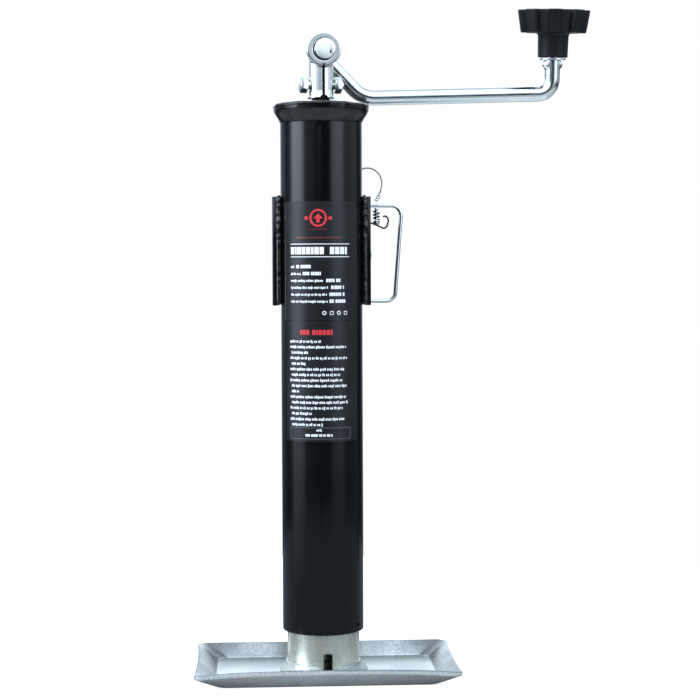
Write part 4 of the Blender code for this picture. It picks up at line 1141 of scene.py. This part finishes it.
def knob(plastic, zinc, steel):
    spindle = CRANK @ SPINDLE
    base, under, top = KNOB_Z
    steps = KNOB_LOBES * 28

    def lobed(radius, depth):
        ring = []
        for i in range(steps):
            angle = 2 * pi * i / steps
            phase = abs((angle * KNOB_LOBES / (2 * pi) + 0.5) % 1.0 - 0.5) * 2      # 0 on a lobe, 1 in a gap
            share = max(0.0, min(1.0, (phase - 0.44) / 0.22))
            reach = radius - depth * share * share * (3 - 2 * share) - 0.35 * phase * phase
            ring.append((reach, angle + KNOB_PHASE))
        return ring

    rows = [
        (10.35, 0.0, base), (10.65, 0.0, base + 0.35), (10.7, 0.0, base + 1.0), (11.0, 0.0, under - 2.4),
        (11.5, 0.0, under - 0.9), (12.6, 0.05, under - 0.1), (14.0, 0.3, under), (22.6, 3.9, under),
        (23.2, 4.0, under + 0.25), (23.5, 4.1, under + 0.9), (25.7, 4.3, top - 1.3), (25.8, 4.3, top - 0.7),
        (25.6, 4.3, top - 0.25), (25.1, 4.2, top), (21.6, 3.8, top + 0.0), (20.2, 3.7, top - 0.5),
        (12.0, 0.6, top - 0.9), (10.4, 0.0, top - 0.4), (9.6, 0.0, top - 0.4), (9.4, 0.0, top - 0.7),
        (9.4, 0.0, 466.4), (5.7, 0.0, 466.4), (5.7, 0.0, base + 0.5), (6.2, 0.0, base),
    ]
    points = [(r * cos(a), r * sin(a), z) for radius, depth, z in rows
              for r, a in lobed_or_round(lobed, radius, depth, steps)]
    piece("star_knob", points, grid_faces(len(rows), steps), plastic, "knob", "knob",
          spindle, 38.0)
    disc = [(0.0, 469.2), (8.9, 469.2, 0.2), (8.9, 470.2, 0.5), (6.0, 470.5, 0.6), (5.0, 470.2, 0.4),
            (0.0, 470.2)]
    turned("knob_cap_disc", disc, plastic, "knob", "knob_cap", 72, spindle)
    low = base - 1.8
    plate = [(5.5, low, 0.2), (9.6, low, 0.35), (9.6, low + 1.4, 0.35), (5.5, low + 1.4, 0.2)]
    turned("knob_washer_plate", plate, zinc, "handle", "knob_washer", 72, spindle)
    clip = [(5.3, 467.0, 0.1), (8.0, 467.0, 0.25), (8.0, 468.1, 0.25), (6.4, 468.3, 0.3), (5.3, 467.9, 0.1)]
    turned("push_nut", clip, steel, "handle", "knob_retainer", 60, spindle)


def lobed_or_round(lobed, radius, depth, steps):
    if depth:
        return lobed(radius, depth)
    return [(radius, 2 * pi * i / steps + KNOB_PHASE) for i in range(steps)]


# ---------------------------------------------------------------- leg and foot

NOTCH_TURN = 5.0


def inner_tube(zinc):
    top = leg_high.z
    tube = turned("drop_tube", [(LEG_BORE, leg_low.z, 0.3), (LEG_R, leg_low.z, 0.3), (LEG_R, top, 0.7),
                                (LEG_BORE, top, 0.5)], zinc, None, steps=FINE)
    outline = fillet([(-3.25, 0.0, 0.0), (3.25, 0.0, 0.0), (3.25, 19.0, 1.6), (-3.25, 19.0, 1.6)])
    cut = prism("guide", outline, 15.0, 30.0, None, turn=Matrix.Rotation(radians(NOTCH_TURN), 4, "Z")
                @ Matrix.Rotation(pi / 2, 4, "X"))
    combine(tube, [cut], "DIFFERENCE")
    dress(tube, zinc)
    settle(tube, "leg", "inner_tube")


def screw_nut(bronze):
    """The nut pressed into the drop tube, with one groove that the tube is staked into."""
    low, high = screw_nut_low.z, screw_nut_high.z
    outline = [(8.25, low, 0.6), (21.2, low, 0.4), (22.1, low + 1.0, 0.4), (22.1, low + 7.0), (21.4, low + 7.6),
               (21.4, low + 9.4), (22.1, low + 10.0), (22.1, high, 0.6), (8.25, high, 0.6)]
    turned("drive_nut", outline, bronze, "leg", "screw_nut", 96)


def foot_ring(share, height, corner):
    """One ring of the tray: share is 0 at the flat's edge and 1 at the rim, whose corners are drawn out."""
    hx, hy = [flat + (rim - flat) * share for flat, rim in zip(FOOT_FLAT, FOOT_RIM)]
    arc = 12
    ring = []
    for sx, sy, start, spots in ((1, 1, 0, 40), (-1, 1, 90, 20), (-1, -1, 180, 40), (1, -1, 270, 20)):
        cx, cy = sx * (hx - corner), sy * (hy - corner)
        for k in range(arc + 1):
            angle = radians(start + 90 * k / arc)
            ring.append((cx + corner * cos(angle), cy + corner * sin(angle)))
        x, y = ring[-1]
        goal = (-x, y) if spots == 40 else (x, -y)
        ring += [(x + (goal[0] - x) * k / spots, y + (goal[1] - y) * k / spots) for k in range(1, spots)]
    pull = max(0.0, share) ** 1.3
    out_x, out_y, down = (drawn * pull for drawn in FOOT_DRAWN)
    result = []
    for x, y in ring:
        across, deep = abs(x) / hx, y / hy
        result.append(Vector((FOOT_SHIFT + x + out_x * deep ** 2 * (1 if x > 0 else -1),
                              y + out_y * across ** 3 * deep, height - down * across ** 3)))
    return result


def foot_plate(zinc, drawn, outer):
    """A pressed tray with soft folds, sloping flanges and drawn-out corners; the flanges' upward faces carry
    painted shade and their outer faces painted light.
    """
    reach = FOOT_RIM[0] - FOOT_FLAT[0]
    section = fillet([(-9.0, 0.0, 0.0), (0.0, 0.0, 4.0), (reach - 0.3, 9.6, 0.8), (reach, 12.2, 0.8),
                      (reach - 2.0, FOOT_HEIGHT, 0.8), (-0.1, SHEET + 0.25, 0.5), (-0.7, SHEET - 0.2, 0.2),
                      (-1.3, SHEET, 0.2), (-9.0, SHEET, 0.0)], 15.0)
    points = []
    for distance, z in section:
        share = distance / reach
        for spot in foot_ring(share, z, 8.0 - 2.0 * max(0.0, share)):
            level = (spot.x, spot.y, 0.0)
            swell = 0.16 * ripple(level, 24.0, 2.0) + 0.04 * ripple(level, 5.0, 5.0)
            points.append(spot + Z_UP * swell * (max(0.0, share) or 0.6 * (z > 1.0)))
    count = len(points) // len(section)
    faces = grid_faces(len(section), count, wrap_rows=False)
    faces += [tuple(range(count)), tuple(range((len(section) - 1) * count, len(section) * count))]
    finishes = [zinc, drawn, outer]
    tray = piece("foot_tray", points, faces, finishes, "leg", "foot_plate", sharp=42.0)
    # upward flange faces get the darker copy of the zinc (painted shade), the other flange faces the lighter
    # copy (painted light)
    for face in tray.data.polygons:
        if face.center.z > (SHEET + 0.6) * MM:
            face.material_index = 1 if face.normal.z > 0.1 else 2


def foot_weld(zinc):
    """The fillet round the drop tube's foot, open at the drain notch."""
    inside = LEG_R - 0.3
    section = fillet([
        (inside, SHEET - 0.3, 0.0), (LEG_R + 5.6, SHEET - 0.3, 0.0), (LEG_R + 4.6, SHEET + 1.2, 0.8),
        (LEG_R + 1.4, SHEET + 4.4, 2.6), (LEG_R + 0.7, SHEET + 7.0, 0.5), (inside, SHEET + 7.4, 0.0)])
    steps, opening = 240, 9.0
    points = []
    for i in range(steps + 1):
        share = i / steps
        angle = radians(-90 + NOTCH_TURN + opening + (360 - 2 * opening) * share)
        end = min(1.0, 0.35 + min(share, 1 - share) * 30)
        for radius, z in section:
            spot = Vector((cos(angle) * 20.0, sin(angle) * 20.0, z))
            coins = 0.10 * abs(sin(54 * angle + z)) + 0.22 * ripple(spot, 5.0, 6.0)
            grow = end * (1.0 + coins * min(1.0, (radius - LEG_R + 0.3) / 1.5))
            reach = LEG_R - 0.3 + (radius - LEG_R + 0.3) * grow
            lift = 0.6 + 0.4 * end + 0.12 * ripple(spot, 9.0, 2.0)
            points.append((reach * cos(angle), reach * sin(angle), SHEET - 0.3 + (z - SHEET + 0.3) * lift))
    count = len(section)
    faces = grid_faces(steps + 1, count, wrap_rows=False)
    faces += [tuple(range(count)), tuple(steps * count + k for k in range(count))]
    piece("foot_weld_bead", points, faces, zinc, "leg", "foot_weld", sharp=60.0)


# ---------------------------------------------------------------- trailer side

def trailer_pipe(steel):
    """The weld-on stub with its four pin holes, and the spring ring that keeps it in the sleeve."""
    low, high = pipe_low.y, pipe_high.y
    outer, bore, groove = (pipe_high.x - pipe_low.x) / 2, 19.2, (39.6, 41.4)
    place = shift(0, 0, MOUNT_Z)
    pipe = turned("trailer_stub", [
        (bore, low, 0.4), (outer, low, 0.8), (outer, groove[0]), (outer - 1.2, groove[0]),
        (outer - 1.2, groove[1]), (outer, groove[1]), (outer, high, 0.5), (bore, high, 0.5)],
        steel, None, steps=FINE, turn=place @ ALONG_Y)
    quarters = [place @ Matrix.Rotation(pi / 2 * i, 4, "Y") for i in range(4)]
    holes = [rod(5.6, 15.0, 26.0, quarter @ shift(0, PIN_Y, 0) @ ALONG_X, 48) for quarter in quarters]
    combine(pipe, holes, "DIFFERENCE")
    dress(pipe, steel)
    settle(pipe, "mount", "mount_pipe")
    inner, edge, steps, opening = outer - 0.9, 24.4, 120, 9.0
    points = []
    section = fillet([(inner, 39.9, 0.15), (edge, 39.9, 0.25), (edge, 41.1, 0.25), (inner, 41.1, 0.15)], 30.0)
    for i in range(steps + 1):
        angle = radians(-90 + opening + (360 - 2 * opening) * i / steps)
        points += [(r * cos(angle), y, MOUNT_Z + r * sin(angle)) for r, y in section]
    faces = grid_faces(steps + 1, len(section), wrap_rows=False)
    faces += [tuple(range(len(section))), tuple(steps * len(section) + k for k in range(len(section)))]
    piece("spring_ring", points, faces, steel, "mount", "mount_ring")


def lock_pin(zinc):
    low, high = [box[0] for box in cad("lock_pin")]
    outline = [(0.0, low), (5.0, low, 1.3), (5.0, high, 0.9), (0.0, high)]
    pin = turned("pull_pin", outline, zinc, None, steps=64, turn=shift(0, PIN_Y, MOUNT_Z) @ ALONG_X)
    combine(pin, [rod(1.7, -8.0, 8.0, shift(WIRE_EYE_X, PIN_Y, MOUNT_Z), 32)], "DIFFERENCE")
    dress(pin, zinc)
    settle(pin, "lock_pin", "lock_pin")


def pull_wire(zinc):
    corners = [Vector(c) for c in ((0.0, 0.0, -34.8), (19.6, 0.0, -34.9), (24.9, 0.0, 34.5), (0.0, 0.0, 34.8))]
    path = []
    for i, radius in enumerate((3.0, 6.5, 7.0, 3.0)):
        into = (corners[i] - corners[i - 1]).normalized()
        out = (corners[(i + 1) % 4] - corners[i]).normalized()
        arc = bend(corners[i], into, out, radius, 16)
        if path:
            path += [path[-1].lerp(arc[0], k / 8) for k in range(1, 8)]
        path += arc
    path += [path[-1].lerp(path[0], k / 8) for k in range(1, 8)]
    swept("pull_ring_wire", path, WIRE_R, zinc, "pull_wire", "pull_wire", 24, closed=True,
          turn=shift(WIRE_EYE_X, PIN_Y, MOUNT_Z))


# ---------------------------------------------------------------- assembly

camera()
world()
top_light()
floor()

paint = black_paint()
weld_paint = black_paint("painted_weld", 0.25)
vinyl = label_vinyl()
white_ink = ink("white_ink", (0.80, 0.81, 0.81), (0.30, 0.31, 0.32))
red_ink = ink("red_ink", (0.58, 0.020, 0.022), (0.26, 0.012, 0.014))
dim_red_ink = ink("dim_red_ink", (0.20, 0.016, 0.018), (0.06, 0.010, 0.012))
zinc = bright_zinc()
wire_zinc = bright_zinc("polished_wire", (0.03, 0.07), 0.85, 0.03)
struck_zinc = bright_zinc("struck_rod_end", (0.42, 0.55), 1.12, 0.6)
tube_zinc = satin_zinc("drop_tube_zinc", (0.86, 0.85, 0.72), (0.64, 0.66, 0.57),
                       420.0, 0.30, (0.22, 0.36), 0.15, 0.86, (1.0, 1.0, 0.22))
foot_zinc = satin_zinc("foot_zinc", (0.66, 0.68, 0.64), (0.48, 0.52, 0.49),
                       620.0, 0.30, (0.24, 0.38), 0.25, 0.92)
# darker and lighter copies of the foot's zinc: painted shade on the flanges' upward faces, painted light on
# their outer faces
flange_painted_shade_zinc = satin_zinc("foot_flange_painted_shade_zinc", (0.43, 0.45, 0.44), (0.27, 0.29, 0.285),
                        620.0, 0.45, (0.24, 0.38), 0.35)
flange_painted_light_zinc = satin_zinc("foot_outer_painted_light_zinc", (0.95, 0.97, 0.93), (0.74, 0.78, 0.75),
                        620.0, 0.35, (0.30, 0.44), 0.3, 0.6)
weld_zinc = satin_zinc("foot_weld_zinc", (0.58, 0.60, 0.56), (0.30, 0.33, 0.31),
                       620.0, 0.30, (0.34, 0.46), 0.2, 0.7)
plastic = black_plastic()
oiled = plain_metal("oiled_steel", (0.20, 0.20, 0.21), (0.09, 0.09, 0.095), 0.34)
dark_wire = plain_metal("black_oxide_wire", (0.035, 0.037, 0.042), (0.018, 0.019, 0.022), 0.26)
bare = plain_metal("bare_steel", (0.46, 0.46, 0.46), (0.30, 0.30, 0.30), 0.30)
bronze = plain_metal("bronze", (0.55, 0.38, 0.18), (0.36, 0.22, 0.09), 0.30)

outer_tube(paint)
head_cap(paint)
thrust_bearing(bare, bronze)
saddle_bracket(paint)
bracket_welds(weld_paint)
swivel_sleeve(paint)
labels(vinyl, white_ink, red_ink, dim_red_ink)
lanyard(bare, zinc)
keeper(zinc, dark_wire)

lead_screw(oiled, slit_shade_black())
screw_stop(zinc, oiled)
crank_socket(zinc)
eye_bush(oiled)
clamp_bolt(zinc)
handle_rod(zinc, struck_zinc)
knob(plastic, zinc, oiled)

inner_tube(tube_zinc)
screw_nut(bronze)
foot_plate(foot_zinc, flange_painted_shade_zinc, flange_painted_light_zinc)
foot_weld(weld_zinc)

trailer_pipe(bare)
lock_pin(zinc)
pull_wire(wire_zinc)
